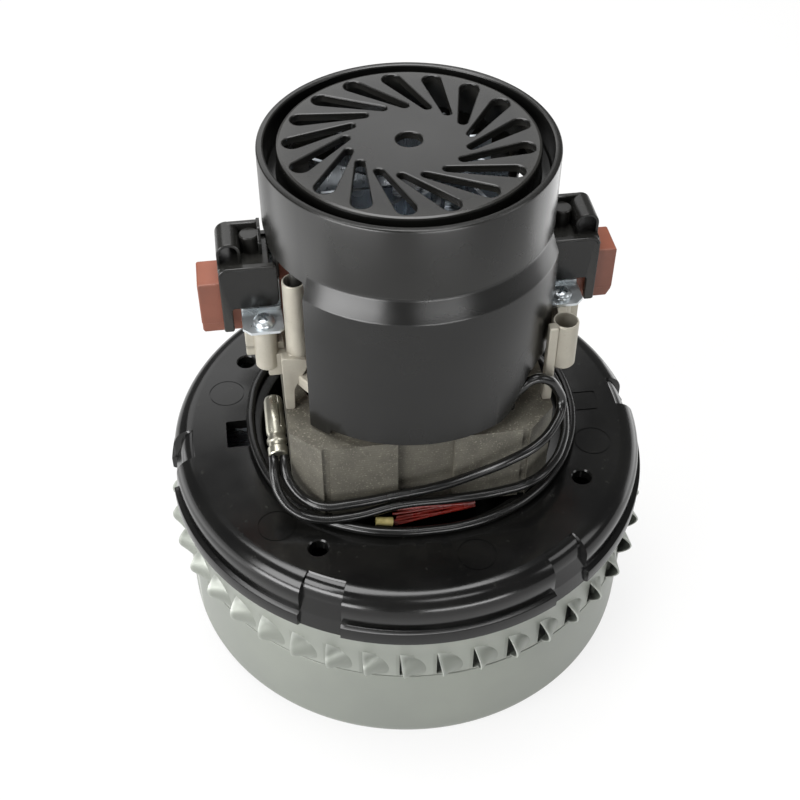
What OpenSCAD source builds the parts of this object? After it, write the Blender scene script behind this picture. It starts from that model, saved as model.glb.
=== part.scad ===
// Vacuum motor unit: a two-stage bypass blower driven by a brushed series motor.
// The shaft stands on Z, the brushes lie on X and the air inlet is at the bottom.

/* [Fan housing] */
// Outside diameter of the sheet steel fan housing
housing_d = 143; // [137:1:150]
// Height of the housing from its bottom to its rim
housing_h = 57; // [55:1:62]
// Sheet thickness of the housing
sheet_t = 1.2; // [0.8:0.1:1.6]
// Radius of the corner between the bottom and the wall
corner_r = 6.3; // [4:0.1:9]
// Diameter of the inlet eye in the bottom
inlet_d = 40; // [36:1:42]
// Height of the rolled lip round the inlet eye
inlet_lip_h = 4; // [2:0.5:5]
// Number of louvres round the wall
louvre_n = 42; // [30:1:42]
// Height of a louvre's mouth
louvre_h = 10.5; // [8:0.5:12]
// How far a louvre stands out of the wall
louvre_out = 3.8; // [2.5:0.1:4.2]
// Length of a louvre from its mouth to its tail
louvre_l = 9; // [7:0.5:9]
// Height of the louvres' centre line above the bottom
louvre_z = 39.2; // [37:0.2:42]

/* [Fans] */
// Diameter of the two fan wheels
fan_d = 132; // [120:1:134]
// Depth of a fan wheel's blades
blade_h = 9; // [7:0.5:10]
// Sheet thickness of the fan wheels
fan_sheet = 1; // [0.8:0.1:1.2]
// Number of blades in a fan wheel
blade_n = 6; // [5:1:9]
// Diameter of a fan wheel's eye
fan_eye_d = 44; // [42:1:48]
// Height of the first fan wheel's back plate above the bottom
first_fan_z = 17; // [15.5:0.5:17.5]
// Height of the second fan wheel's back plate above the bottom
second_fan_z = 46; // [45:0.5:47]

/* [Fan end bracket] */
// Outside diameter of the moulded skirt
skirt_d = 144; // [143:0.5:146]
// Outside diameter over the lip at the skirt's foot
lip_d = 147; // [146.5:0.5:152]
// Height of the lip below the housing rim
lip_h = 5; // [4:0.5:6]
// Rise of the bracket's top face above the housing rim
bracket_rise = 11; // [10:0.5:13]
// Wall thickness of the moulding
mould_t = 2.4; // [2:0.1:3]
// Radius of the rounded shoulder
shoulder_r = 6; // [4:0.5:8]
// Diameter of the bolt circle
mount_pcd = 115; // [110:1:120]
// Diameter of a mounting hole
mount_hole_d = 5.5; // [4.5:0.1:6.5]
// Width of each narrow recess in the skirt
recess_w = 12.5; // [10:0.5:15]
// Inside diameter of the well below the field core
well_d = 89; // [88:1:92]
// Depth of the well below the top face
well_depth = 14; // [13.5:0.5:15]

/* [Shaft and bearings] */
// Diameter of the shaft
shaft_d = 8; // [7:0.5:9]
// Outside diameter of a ball bearing
bearing_d = 22; // [21:0.5:24]
// Width of a ball bearing
bearing_w = 7; // [6:0.5:8]
// Diameter of a bearing ball
ball_d = 4; // [3.5:0.1:4.2]
// Number of balls in a bearing
ball_n = 7; // [6:1:8]

/* [Field and armature] */
// Height of the laminated stacks
stack_h = 27; // [24:0.5:32]
// Width of the field core across the brush axis
core_w = 74.4; // [73.4:0.2:75]
// Depth of the field core along the pole axis
core_depth = 73.4; // [73:0.2:75]
// Size of the facet cut off each corner of the field core
core_facet = 8; // [6:0.5:9]
// Depth of the field core beside its bore, on the core's narrower side
pole_depth = 9.2; // [8.9:0.1:9.5]
// Air gap between the armature and the poles
air_gap = 0.5; // [0.4:0.1:0.8]
// Number of armature slots
slot_n = 12; // [10:1:14]
// Diameter of the field winding's wire
coil_wire_d = 1; // [0.8:0.05:1.1]
// Step between neighbouring turns of the field winding
coil_pitch = 1.7; // [1.6:0.05:1.8]

/* [Commutator and brushes] */
// Diameter of the commutator
commutator_d = 32; // [30:0.5:33]
// Height of the brush axis above the field core
brush_rise = 27; // [26:0.5:32]
// Width of a carbon brush
brush_w = 6.4; // [6:0.1:6.8]
// Height of a carbon brush
brush_h = 11; // [10:0.5:11.5]
// Length of a carbon brush
brush_l = 21.5; // [19:0.5:24]
// Running gap between a brush and the commutator
brush_gap = 0.3; // [0.2:0.05:0.5]
// Width of a brush holder
holder_w = 10.7; // [10.5:0.1:11.5]
// Height of a brush holder
holder_h = 16.5; // [16:0.1:18]
// Distance of a brush holder's outer end from the shaft axis
holder_end = 57.8; // [56:0.2:60]

/* [Commutator bracket] */
// Distance of the clamp screws from the shaft axis, along the brushes
screw_x = 41; // [40.6:0.1:42]
// Distance of the clamp screws from the brush axis
screw_y = 12.2; // [11.8:0.1:12.4]
// Outside diameter of a clamp screw boss
boss_d = 6.2; // [5.6:0.1:6.4]
// Outside diameter of the tall cap sockets
socket_d = 6.4; // [6:0.1:6.6]
// Bore of the tall cap sockets
socket_bore_d = 5.1; // [4.9:0.1:5.2]
// Outside diameter of the short mounting sockets
stub_d = 7.2; // [6.8:0.1:7.4]
// Bore of the short mounting sockets
stub_bore_d = 5.8; // [5.2:0.1:6]
// Diameter of the bolts that hold the frame together
frame_bolt_d = 3.9; // [3.5:0.1:4]

/* [Vent cap] */
// Outside diameter of the cap's upper part
cap_d = 78; // [78:0.2:79]
// Outside diameter of the cap's lower panels
panel_d = 82.4; // [82.2:0.1:82.6]
// Wall thickness of the cap
cap_t = 2; // [1.6:0.1:2]
// Height of the cap's top above the brush axis
cap_rise = 45.5; // [45:0.5:52]
// Diameter of the vent grille
grille_d = 67.8; // [67:0.2:69]
// Depth of the groove round the grille
groove_depth = 8; // [5:0.5:9]
// Number of vent slots
vent_n = 17; // [11:1:17]
// Width of a vent slot at its outer end
vent_w = 5.2; // [4:0.2:5.4]

/* [Leads] */
// Diameter of the insulated leads
lead_d = 2.8; // [2.4:0.1:2.9]
// Diameter of the crimp terminal's barrel
crimp_d = 5.8; // [5.4:0.1:6]
// Length of the crimp terminal
crimp_l = 19; // [17:0.5:21]

/* [Hidden] */
$fn = 64;

// Clearances: a push fit on the shaft, a slip fit, and a gap between loose pieces
snug = 0.02;
slip = 0.1;
loose = 0.3;
// Overrun of a cut past the face that it leaves
cut = 1;

// Heights of the main faces, from the bottom up
bracket_z = housing_h + bracket_rise;
seat_h = 0.5;
stack_z = bracket_z + seat_h;
stack_top = stack_z + stack_h;
brush_z = stack_top + brush_rise;
cap_top = brush_z + cap_rise;
well_floor_z = bracket_z - well_depth;
lower_bearing_z = well_floor_z + 2.5;
upper_bearing_z = brush_z + 15;
ring_z = stack_top + 8.5;
ring_t = 4;

// Fan housing
housing_r = housing_d / 2;
housing_in_r = housing_r - sheet_t;
louvre_r = (pow(louvre_h / 2, 2) + pow(louvre_out, 2)) / (2 * louvre_out);
louvre_skin = 0.8;
louvre_tip_r = 0.5;
louvre_tilt = 4;
louvre_start = -100;
louvre_lead = 0.6;
louvre_mouth = 0.4;
louvre_sides = 10;

// Fans and their fixings on the shaft
washer_t = 1.2;
washer_d = 20;
spacer_d = 12;
nut_h = 6;
nut_d = 14;
divider_t = 1.2;
blade_inset = 2;
divider_z = first_fan_z + fan_sheet + 3;
divider_top = second_fan_z - blade_h - fan_sheet - 4;

// Fan end bracket
well_r = well_d / 2;
plate_t = 3.5;
hub_t = 2.6;
recess_depth = 2;
lip_root = 1.5;
recess_n = 6;
recess_start = 2;
mount_n = 4;
mount_start = -34;
rib_n = 12;

// Bearings
ball_r = ball_d / 2 - 0.02;
ball_pitch_r = (bearing_d + shaft_d) / 4;
groove_r = ball_d / 2 + 0.05;
race_gap = 1.4;

// Field core and winding
bore_d = min(core_w, core_depth) - 2 * pole_depth;
yoke_t = 3.2;
window_r = core_w / 2 - yoke_t;
window_y = 18.6;
core_recess_w = 16;
core_recess = 2;
armature_r = bore_d / 2 - air_gap;
coil_r = bore_d / 2 + 0.8;
coil_loops = 8;
coil_rings = 24;
coil_span = 68;
coil_lift = 2.2;
coil_square = 0.45;
coil_bulge = 6;
coil_bulge_span = 27;

// Frame bolts, their posts in the well and their spacers on the core
bolt_x = 19.7;
bolt_y = 29.7;
post_d = 5.8;
bolt_head_d = 6.4;
bolt_head_h = 2.6;
bolt_grip = 8;

// Commutator and brush gear
commutator_l = 25;
commutator_z = brush_z - 13.5;
riser_t = 2;
riser_out = 1.5;
brush_x = commutator_d / 2 + brush_gap;
tube_t = 0.6;
tube_in = 30;
tube_end_t = 1;
tube_out = 4;
holder_wall = 1.5;
holder_z = brush_z - 8;
holder_foot = 2.7;
spring_r = 2.5;
spring_wire_d = 0.7;
spring_turns = 6;
strap_t = 0.8;
strap_w = 11;
strap_x = 35.8;
strap_y = 16;
strap_z = brush_z - 1.5;
screw_head_d = 6;
screw_head_h = 2.2;
screw_d = 3;
screw_l = 9;
cover_in = 38;
cover_out = 51.8;
cover_t = 1.5;
cover_y = 8;
cover_z = brush_z + 1;
cover_top = brush_z + 14.5;
cover_leg_w = 2.8;
cover_leg_z = brush_z - 6.5;
guide_h = 6;
guide_r = 3.25;
guide_w = 10.5;
guide_y = -4.5;
tunnel_r = 2;
tongue_r = 3.4;

// Commutator bracket, set out from the inside and outside of the cap's panels
panel_r = panel_d / 2;
ring_gap = 0.8;
ring_w = 7.9;
ring_r = panel_r - cap_t - ring_gap;
ring_in_r = ring_r - ring_w;
socket_x = 32.4;
socket_y = 15.3;
socket_top = brush_z + 15.5;
socket_z = brush_z - 10;
stub_out = 4.7;
stub_turn = 29.637;
stub_x = (panel_r + stub_out) * cos(stub_turn);
stub_y = (panel_r + stub_out) * sin(stub_turn);
leg_out = 2.1;
leg_turn = 36.74;
leg_x = (panel_r + leg_out) * cos(leg_turn);
leg_y = (panel_r + leg_out) * sin(leg_turn);
leg_t = 2.7;
stub_top = brush_z - 0.5;
stub_z = brush_z - 15.5;
pillar_d = 5.2;
pillar_r = ring_r - pillar_d / 2 - 1.8;
pillar_angles = [-112, -68, 68, 112];

// Vent cap
cap_r = cap_d / 2;
panel_z = stack_top + 3;
panel_tab_z = stack_top + 0.8;
panel_start = -139;
panel_span = 114.5;
panel_tab_span = 10;
arch_span = 33.5;
arch_z = stack_top + 15;
cap_wall_z = brush_z + 16.5;
gap_wall_z = brush_z + 24;
gap_wall_turn = 1.5;
shoulder_z = brush_z + 15.5;
shoulder_top = brush_z + 24.5;
grille_r = grille_d / 2;
grille_wall_t = 1.5;
hub_hole_d = 6.9;
vent_out_r = 29.6;
vent_in_r = 16.2;
vent_in_w = 2.4;
vent_turn = 26;
vent_start = -100;
peg_d = socket_bore_d - 2 * loose;
peg_depth = 9;

// Cooling fan
cooler_r = 30.5;
cooler_z = upper_bearing_z + bearing_w + 5;
cooler_blade_h = 11;
cooler_blade_l = 18;
cooler_blades = 10;
cooler_hub_h = 8;

// Leads, as points on their centre lines, from the terminal to the flange they lie on
lay_z = bracket_z + lead_d / 2 + 0.2;
crimp_x = -40.6;
crimp_y = -26.1;
crimp_z = stack_z + 15.5;
crimp_lean = 75;
lead_z = stack_z + 11;
jumper_points = [
  [crimp_x + 1.5, crimp_y - loose, crimp_z - slip], [crimp_x + 1.5, crimp_y - 1.8, crimp_z - 0.5],
  [-38.9, -31, crimp_z - 2.6], [-37.3, -33.7, lead_z - 1.1], [-34.2, -36.4, lead_z - 3.4],
  [-30, -38.9, lead_z - 4.1], [-22, -39.6, lead_z - 3.7],
  [-8, -39, lead_z - 2.7], [3, -39, lead_z - 1.1], [14, -39.4, stack_top - 12.9],
  [23, -40, stack_top - 8.1], [31, -38.4, stack_top - 4.5], [36.6, -34, stack_top - 1.9],
  [39.4, -29.4, stack_top + 1.5], [38, -28.4, stack_top + 6], [34.6, -28.6, stack_top + 10.5],
  [30.6, -29, stack_top + 11.5], [27.2, -29.4, stack_top + 8.9], [25.4, -28.6, stack_top + 5.1],
  [25, -27.6, stack_top + 3.1], [25, -27.6, stack_top + 0.3]
];
supply_points = [
  [crimp_x - 1.5, crimp_y - loose, crimp_z - slip], [crimp_x - 1.5, crimp_y - 1.9, crimp_z - 0.5],
  [-42.3, -31.6, crimp_z - 3.1], [-41.2, -35, lead_z - 2.3], [-37.8, -38.2, lead_z - 5.6],
  [-31.6, -40.8, lead_z - 7.1], [-22, -41.4, lead_z - 7.1],
  [-8, -40, lead_z - 5.9], [7, -39.8, lead_z - 6.1], [21, -40.6, lead_z - 4.1],
  [30, -39.4, lead_z - 2.7], [37.4, -33.6, lead_z - 2.9], [43, -24.6, lead_z - 3.9],
  [46.4, -14, lead_z - 5.3], [48, -3, lay_z + 3.4], [47.6, 8, lay_z + 2.4], [45.4, 18, lay_z + 1.4],
  [40, 28.4, lay_z + 0.4], [31, 37.6, lay_z], [20, 43.6, lay_z], [8, 47, lay_z], [-5, 47.4, lay_z],
  [-18, 44.4, lay_z], [-29, 38.8, lay_z], [-38, 31, lay_z], [-44.4, 21, lay_z], [-47.2, 10, lay_z],
  [-47.8, -1, lay_z], [-46.4, -12, lay_z], [-43.2, -22, lay_z], [-38, -31, lay_z], [-31, -38, lay_z],
  [-22, -43, lay_z], [-11.5, -46.2, lay_z], [0, -47.2, lay_z], [11.5, -46.4, lay_z], [22, -43.2, lay_z],
  [31.5, -37.8, lay_z], [40, -29.6, lay_z], [46.4, -19.5, lay_z], [50.2, -8.6, lay_z],
  [51.4, 2, lay_z], [50.6, 12.5, lay_z], [48, 22.6, lay_z], [43.8, 31.6, lay_z], [41.5, 35.4, lay_z]
];

// Colours
steel_grey = "#a5aaa3";
black = "#2b2b2b";
charcoal = "#4a4a46";
alloy = "#c2bdb0";
core_grey = "#8d897c";
copper = "#7a1f17";
brown = "#9a6350";
zinc = "#9aa3a6";
bright = "#c8ccce";
brass = "#b59a55";
carbon = "#3a3a3a";

// A vector of length one
function unit(v) = v / norm(v);
// A smooth curve through the points, with some steps in each span
function curve_point(p, i, t) =
  let (a = p[max(i - 1, 0)], b = p[i], c = p[i + 1], d = p[min(i + 2, len(p) - 1)])
  0.5 * (2 * b + (c - a) * t + (2 * a - 5 * b + 4 * c - d) * t * t + (3 * b - a - 3 * c + d) * t * t * t);
function curve(p, steps) = concat(
  [for (i = [0 : len(p) - 2], s = [0 : steps - 1]) curve_point(p, i, s / steps)],
  [p[len(p) - 1]]);
// Directions along a path, and a side direction carried along it without twist
function tangents(p) =
  [for (i = [0 : len(p) - 1]) unit(p[min(i + 1, len(p) - 1)] - p[max(i - 1, 0)])];
function square_to(n, t) = unit(n - (n * t) * t);
function sides(t) =
  let (last = len(t) - 1, first = abs(t[0].z) < 0.9 ? [0, 0, 1] : [1, 0, 0])
  [for (i = 0, n = square_to(first, t[0]); i <= last; i = i + 1, n = square_to(n, t[min(i, last)])) n];
// Least gap between stretches of a tube that are some rings apart
function least_gap(p, d, apart) =
  min([for (i = [0 : len(p) - 1 - apart], j = [i + apart : len(p) - 1]) norm(p[i] - p[j])]) - d;

// A round tube swept along a path
module tube(path, d, n) {
  t = tangents(path);
  s = sides(t);
  last = len(path) - 1;
  points = [for (i = [0 : last], k = [0 : n - 1])
    path[i] + d / 2 * (cos(360 * k / n) * s[i] + sin(360 * k / n) * cross(t[i], s[i]))];
  walls = [for (i = [0 : last - 1], k = [0 : n - 1])
    let (a = i * n + k, b = i * n + (k + 1) % n)
    each [[a, a + n, b], [b, a + n, b + n]]];
  ends = [for (k = [1 : n - 2]) each [[0, k, k + 1], [last * n, last * n + k + 1, last * n + k]]];
  polyhedron(points, concat(walls, ends), convexity = 10);
}

module ring(r_out, r_in, h) {
  difference() {
    cylinder(h = h, r = r_out);
    translate([0, 0, -cut]) cylinder(h = h + 2 * cut, r = r_in);
  }
}

// A sector of a ring, from one azimuth over a span
module sector(r_out, r_in, h, start, span) {
  rotate([0, 0, start]) rotate_extrude(angle = span) translate([r_in, 0]) square([r_out - r_in, h]);
}

// Both sides of the motor, which repeat after half a turn
module half_turns() {
  for (a = [0, 180]) rotate([0, 0, a]) children();
}

// The four corners that mirror one another
module corners() {
  for (flip_x = [0, 1], flip_y = [0, 1]) mirror([flip_x, 0, 0]) mirror([0, flip_y, 0]) children();
}

// Half profile of a cup with a rounded bottom corner
module cup_profile(r, h, c) {
  translate([0, c]) square([r, h - c]);
  square([r - c, h]);
  translate([r - c, c]) circle(r = c);
}

// A louvre's flat-sided cone, with its mouth at the start azimuth and its tail beyond it
module louvre_cone(inset, overrun) {
  axis_r = housing_r - louvre_r + louvre_out;
  translate([axis_r, 0, louvre_z]) rotate([-90, 0, louvre_tilt]) translate([0, 0, -overrun])
    cylinder(h = louvre_l - inset + overrun, r1 = louvre_r - inset, r2 = louvre_tip_r, $fn = louvre_sides);
}

// The first louvre starts a little past the seam of the shell, which lies between two of them
module louvres() {
  for (i = [0 : louvre_n - 1]) rotate([0, 0, louvre_lead + i * 360 / louvre_n]) children();
}

module fan_housing() color(steel_grey) rotate([0, 0, louvre_start - louvre_lead]) {
  eye_r = inlet_d / 2;
  difference() {
    union() {
      rotate_extrude() difference() {
        cup_profile(housing_r, housing_h, corner_r);
        translate([0, sheet_t]) cup_profile(housing_in_r, housing_h, corner_r - sheet_t);
        translate([-cut, -cut]) square([eye_r + cut, sheet_t + 2 * cut]);
      }
      ring(eye_r + sheet_t, eye_r, sheet_t + inlet_lip_h);
      difference() {
        louvres() louvre_cone(0, 0);
        cylinder(h = housing_h, r = housing_in_r + sheet_t / 2);
      }
    }
    louvres() louvre_cone(louvre_skin, louvre_mouth);
  }
}

// Fan wheel blades curve back from the eye to the rim
module blade_outline(r_in, r_out) {
  bend_r = r_out * 0.62;
  intersection() {
    translate([r_out * 0.42, -bend_r * 0.72]) difference() {
      circle(r = bend_r);
      circle(r = bend_r - fan_sheet);
    }
    translate([0, -r_out * 0.2]) square([r_out, r_out]);
    difference() {
      circle(r = r_out);
      circle(r = r_in);
    }
  }
}

module fan_blades(z) {
  for (i = [0 : blade_n - 1]) rotate([0, 0, i * 360 / blade_n])
    translate([0, 0, z - blade_h]) linear_extrude(blade_h)
      blade_outline(fan_eye_d / 2 + blade_inset, fan_d / 2 - blade_inset);
}

module fan_shroud(z) {
  translate([0, 0, z - blade_h - fan_sheet]) ring(fan_d / 2, fan_eye_d / 2, fan_sheet);
}

module fan_back_plate(z) {
  translate([0, 0, z]) ring(fan_d / 2, shaft_d / 2 + snug, fan_sheet);
}

module first_fan_shroud() color(bright) fan_shroud(first_fan_z);
module first_fan_blades() color(bright) fan_blades(first_fan_z);
module first_fan_back_plate() color(bright) fan_back_plate(first_fan_z);
module second_fan_shroud() color(bright) fan_shroud(second_fan_z);
module second_fan_blades() color(bright) fan_blades(second_fan_z);
module second_fan_back_plate() color(bright) fan_back_plate(second_fan_z);

// Fixed plate between the stages, with vanes that lead the air back to the middle
module stage_divider() color(steel_grey) {
  rim_r = housing_in_r - slip;
  translate([0, 0, divider_z]) ring(fan_d / 2, spacer_d / 2 + 2, divider_t);
  translate([0, 0, divider_top]) ring(rim_r, inlet_d / 2, divider_t);
  for (i = [0 : blade_n + 1]) rotate([0, 0, i * 360 / (blade_n + 2)])
    translate([0, 0, divider_z]) linear_extrude(divider_top - divider_z + divider_t)
      mirror([0, 1]) blade_outline(fan_eye_d / 2 + 2 * blade_inset, fan_d / 2 - blade_inset);
}

module fan_spacer() color(bright) {
  z = first_fan_z + fan_sheet + washer_t;
  translate([0, 0, z]) ring(spacer_d / 2, shaft_d / 2 + snug, second_fan_z - washer_t - z);
}

module bearing_spacer() color(bright) {
  z = second_fan_z + fan_sheet + washer_t;
  translate([0, 0, z]) ring(spacer_d / 2, shaft_d / 2 + snug, lower_bearing_z - z);
}

module fan_washers() color(bright) {
  for (plate_z = [first_fan_z, second_fan_z], side_z = [-washer_t, fan_sheet])
    translate([0, 0, plate_z + side_z]) ring(washer_d / 2, shaft_d / 2 + snug, washer_t);
}

module fan_nut() color(bright) {
  translate([0, 0, first_fan_z - washer_t - nut_h]) difference() {
    cylinder(h = nut_h, r = nut_d / 2, $fn = 6);
    translate([0, 0, -cut]) cylinder(h = nut_h + 2 * cut, r = shaft_d / 2 + snug);
  }
}

// Moulded bracket: top plate, rounded shoulder, skirt, lip, well and bearing hub
module bracket_profile() {
  skirt_r = skirt_d / 2;
  bearing_r = bearing_d / 2;
  plate_z = bracket_z - plate_t;
  shoulder_x = skirt_r - shoulder_r;
  translate([well_r, plate_z]) square([shoulder_x - well_r, plate_t]);
  intersection() {
    difference() {
      translate([shoulder_x, bracket_z - shoulder_r]) circle(r = shoulder_r);
      translate([shoulder_x - cut, bracket_z - shoulder_r]) circle(r = shoulder_r - mould_t);
    }
    translate([shoulder_x - cut, bracket_z - shoulder_r]) square(shoulder_r + 2 * cut);
  }
  translate([skirt_r - mould_t, housing_h]) square([mould_t, bracket_rise - shoulder_r]);
  translate([housing_r + slip, housing_h - lip_h])
    square([lip_d / 2 - housing_r - slip, lip_h + lip_root]);
  translate([well_r, well_floor_z - mould_t]) square([mould_t, well_depth + mould_t]);
  translate([bearing_r - mould_t, well_floor_z - mould_t])
    square([well_r - bearing_r + 2 * mould_t, mould_t]);
  translate([bearing_r, well_floor_z - mould_t]) square([hub_t, 2.5 + bearing_w + mould_t]);
  translate([bearing_r - mould_t, well_floor_z - mould_t]) square([mould_t + hub_t / 2, 2.5 + mould_t]);
}

module fan_end_bracket() color(black) {
  difference() {
    union() {
      rotate_extrude() bracket_profile();
      corners() translate([bolt_x, bolt_y, well_floor_z - mould_t / 2])
        cylinder(h = stack_z - well_floor_z + mould_t / 2, r = post_d / 2);
      for (i = [0 : rib_n - 1]) rotate([0, 0, (i + 0.5) * 360 / rib_n])
        translate([well_r + mould_t / 2, -mould_t / 2, well_floor_z - mould_t])
          cube([skirt_d / 2 - mould_t * 1.5 - well_r, mould_t, well_depth + mould_t - plate_t / 2]);
    }
    for (i = [0 : recess_n - 1]) rotate([0, 0, recess_start + i * 360 / recess_n])
      translate([skirt_d / 2 - recess_depth, -recess_w / 2, housing_h - lip_h - cut])
        cube([shoulder_r, recess_w, lip_h + bracket_rise - shoulder_r / 2 + cut]);
    for (i = [0 : mount_n - 1]) rotate([0, 0, mount_start + i * 360 / mount_n])
      translate([mount_pcd / 2, 0, well_floor_z - mould_t - cut])
        cylinder(h = well_depth + mould_t + 2 * cut, r = mount_hole_d / 2);
    translate([-well_r - mould_t - 8.6, -5.4, bracket_z - plate_t - cut]) cube([8, 11, plate_t + 2 * cut]);
    for (y = [-98, -90, -82]) rotate([0, 0, y])
      translate([well_r + 0.9, -2.2, bracket_z - 2]) cube([2.2, 4.4, 2 + cut]);
    corners() translate([bolt_x, bolt_y, stack_z - bolt_grip])
      cylinder(h = bolt_grip + cut, r = frame_bolt_d / 2 + slip);
  }
}

// Ball bearings: races with a groove for the balls, a crown cage and the balls
module outer_race(z) {
  translate([0, 0, z]) rotate_extrude() difference() {
    translate([ball_pitch_r + race_gap, 0])
      square([bearing_d / 2 - ball_pitch_r - race_gap - snug, bearing_w]);
    translate([ball_pitch_r, bearing_w / 2]) circle(r = groove_r);
  }
}

module inner_race(z) {
  bore_r = shaft_d / 2 + snug;
  translate([0, 0, z]) rotate_extrude() difference() {
    translate([bore_r, 0]) square([ball_pitch_r - race_gap - bore_r, bearing_w]);
    translate([ball_pitch_r, bearing_w / 2]) circle(r = groove_r);
  }
}

module balls(z, r) {
  for (i = [0 : ball_n - 1]) rotate([0, 0, i * 360 / ball_n])
    translate([ball_pitch_r, 0, z + bearing_w / 2]) sphere(r = r);
}

module cage(z) {
  difference() {
    translate([0, 0, z + 0.4]) ring(ball_pitch_r + 0.4, ball_pitch_r - 0.4, bearing_w / 2 + 0.4);
    balls(z, ball_r + slip);
  }
}

module lower_bearing_outer_race() color(bright) outer_race(lower_bearing_z);
module upper_bearing_outer_race() color(bright) outer_race(upper_bearing_z);
module lower_bearing_inner_race() color(bright) inner_race(lower_bearing_z);
module upper_bearing_inner_race() color(bright) inner_race(upper_bearing_z);
module lower_bearing_balls() color(bright) balls(lower_bearing_z, ball_r);
module upper_bearing_balls() color(bright) balls(upper_bearing_z, ball_r);
module lower_bearing_cage() color(brass) cage(lower_bearing_z);
module upper_bearing_cage() color(brass) cage(upper_bearing_z);

module shaft() color(bright) {
  z = first_fan_z - washer_t - nut_h - 1.5;
  translate([0, 0, z]) cylinder(h = cooler_z + 6 - z, r = shaft_d / 2);
}

// Laminated field core with two poles on Y and a winding window on each side
module core_outline() {
  x = core_w / 2;
  y = core_depth / 2;
  f = core_facet;
  polygon([
    [-x, -y + f], [-x + f, -y], [x - f, -y], [x, -y + f],
    [x, y - f], [x - f, y], [-x + f, y], [-x, y - f]
  ]);
}

module field_core() color(core_grey) {
  notch_x = core_w / 2 - core_facet - 1.2;
  translate([0, 0, stack_z]) linear_extrude(stack_h) difference() {
    core_outline();
    circle(r = bore_d / 2);
    intersection() {
      circle(r = window_r);
      translate([-core_w / 2, -window_y]) square([core_w, 2 * window_y]);
    }
    for (s = [-1, 1]) translate([-core_recess_w / 2, s * core_depth / 2 - core_recess])
      square([core_recess_w, 2 * core_recess]);
    corners() translate([notch_x - 1, core_depth / 2 - 0.7]) square([2, 2]);
    corners() translate([bolt_x, bolt_y]) circle(r = frame_bolt_d / 2 + slip);
  }
}

// Field winding: loops on a cylinder round one pole, from the bore outwards and back.
// The winding steps to the next radius under the core and to the next layer above it.
function ease(t) = t * t * (3 - 2 * t);
function step_between(s, from, to) = ease(max(0, min(1, (s - from) / (to - from))));
function wave(k) = 2 - abs(2 - k % 4);
function signed_power(v) = sign(v) * pow(abs(v), coil_square);
function bulge(angle) =
  abs(angle) < coil_bulge_span ? coil_bulge * pow(cos(90 * angle / coil_bulge_span), 2) : 0;
function coil_point(k, s) = let (
  across = wave(k) + (wave(k + 1) - wave(k)) * step_between(s, 0.75, 1),
  layer = floor(k / 2) - (k > 0 && k % 2 == 0 ? 1 - step_between(s, 0.25, 0.5) : 0),
  turn = 225 - 360 * s,
  span = coil_span + layer * coil_pitch / coil_r * 180 / PI,
  half_h = stack_h / 2 + coil_lift + layer * coil_pitch,
  angle = span * signed_power(cos(turn)),
  rise = half_h * signed_power(sin(turn)),
  r = coil_r + across * coil_pitch + (rise < -stack_h / 2 ? bulge(angle) : 0))
  [r * sin(angle), -r * cos(angle), stack_z + stack_h / 2 + rise];
coil_path = concat(
  [coil_point(0, 0) - [0, 0, 2 * coil_wire_d]],
  [for (k = [0 : coil_loops - 1], i = [0 : coil_rings - 1]) coil_point(k, i / coil_rings)]);
echo(field_coil_least_gap = least_gap(coil_path, coil_wire_d, 6));

module field_coil() {
  color(copper) tube(coil_path, coil_wire_d, 6);
}

module field_coil_front() field_coil();
module field_coil_back() rotate([0, 0, 180]) field_coil();

// Armature: slotted core, and a winding that fills the slots and stands out at both ends
module slot_places() {
  for (i = [0 : slot_n - 1]) rotate([0, 0, (i + 0.5) * 360 / slot_n]) children();
}

module armature_core() color(core_grey) {
  translate([0, 0, stack_z]) linear_extrude(stack_h) difference() {
    circle(r = armature_r);
    circle(r = shaft_d / 2 + snug);
    slot_places() translate([armature_r - 5.5, 0]) circle(r = 3.2);
    slot_places() translate([armature_r - 5.5, -1.2]) square([7, 2.4]);
  }
}

module armature_winding() color(copper) {
  end_out = armature_r - 2;
  end_h = 10;
  hub_clear = bearing_d / 2 + hub_t + 1.4;
  translate([0, 0, stack_z - end_h]) ring(end_out, hub_clear, end_h);
  translate([0, 0, stack_top]) ring(end_out, shaft_d / 2 + 4, end_h);
  slot_places() translate([armature_r - 5.5, 0, stack_z - cut]) cylinder(h = stack_h + 2 * cut, r = 2.9);
}

module commutator() color("#b06a3c") {
  bars = 2 * slot_n;
  translate([0, 0, commutator_z]) linear_extrude(commutator_l) difference() {
    circle(r = commutator_d / 2);
    circle(r = shaft_d / 2 + snug);
    for (i = [0 : bars - 1]) rotate([0, 0, i * 360 / bars])
      translate([commutator_d / 2 - 1.2, -0.25]) square([2, 0.5]);
  }
}

// Ring of risers under the bars, which takes the ends of the winding
module commutator_riser() color("#b06a3c") {
  translate([0, 0, commutator_z - riser_t]) ring(commutator_d / 2 + riser_out, shaft_d / 2 + snug, riser_t);
}

// Stamped cooling fan: a hub, a disc and upright blades set at an angle
module cooling_fan() color(bright) {
  translate([0, 0, cooler_z - 3]) ring(6.5, shaft_d / 2 + snug, cooler_hub_h);
  translate([0, 0, cooler_z]) ring(cooler_r - 4, shaft_d / 2 + snug, 1);
  for (i = [0 : cooler_blades - 1]) rotate([0, 0, i * 360 / cooler_blades])
    translate([17, 0, cooler_z + 0.5]) rotate([0, 0, -35])
      translate([-8, -0.5, 0]) cube([cooler_blade_l, fan_sheet, cooler_blade_h]);
}

// Upright wall between two points of the plan
module bar(from, to, t, h) {
  run = to - from;
  translate([from[0], from[1], 0]) rotate([0, 0, atan2(run[1], run[0])]) translate([0, -t / 2, 0])
    cube([norm(run), t, h]);
}

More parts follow.
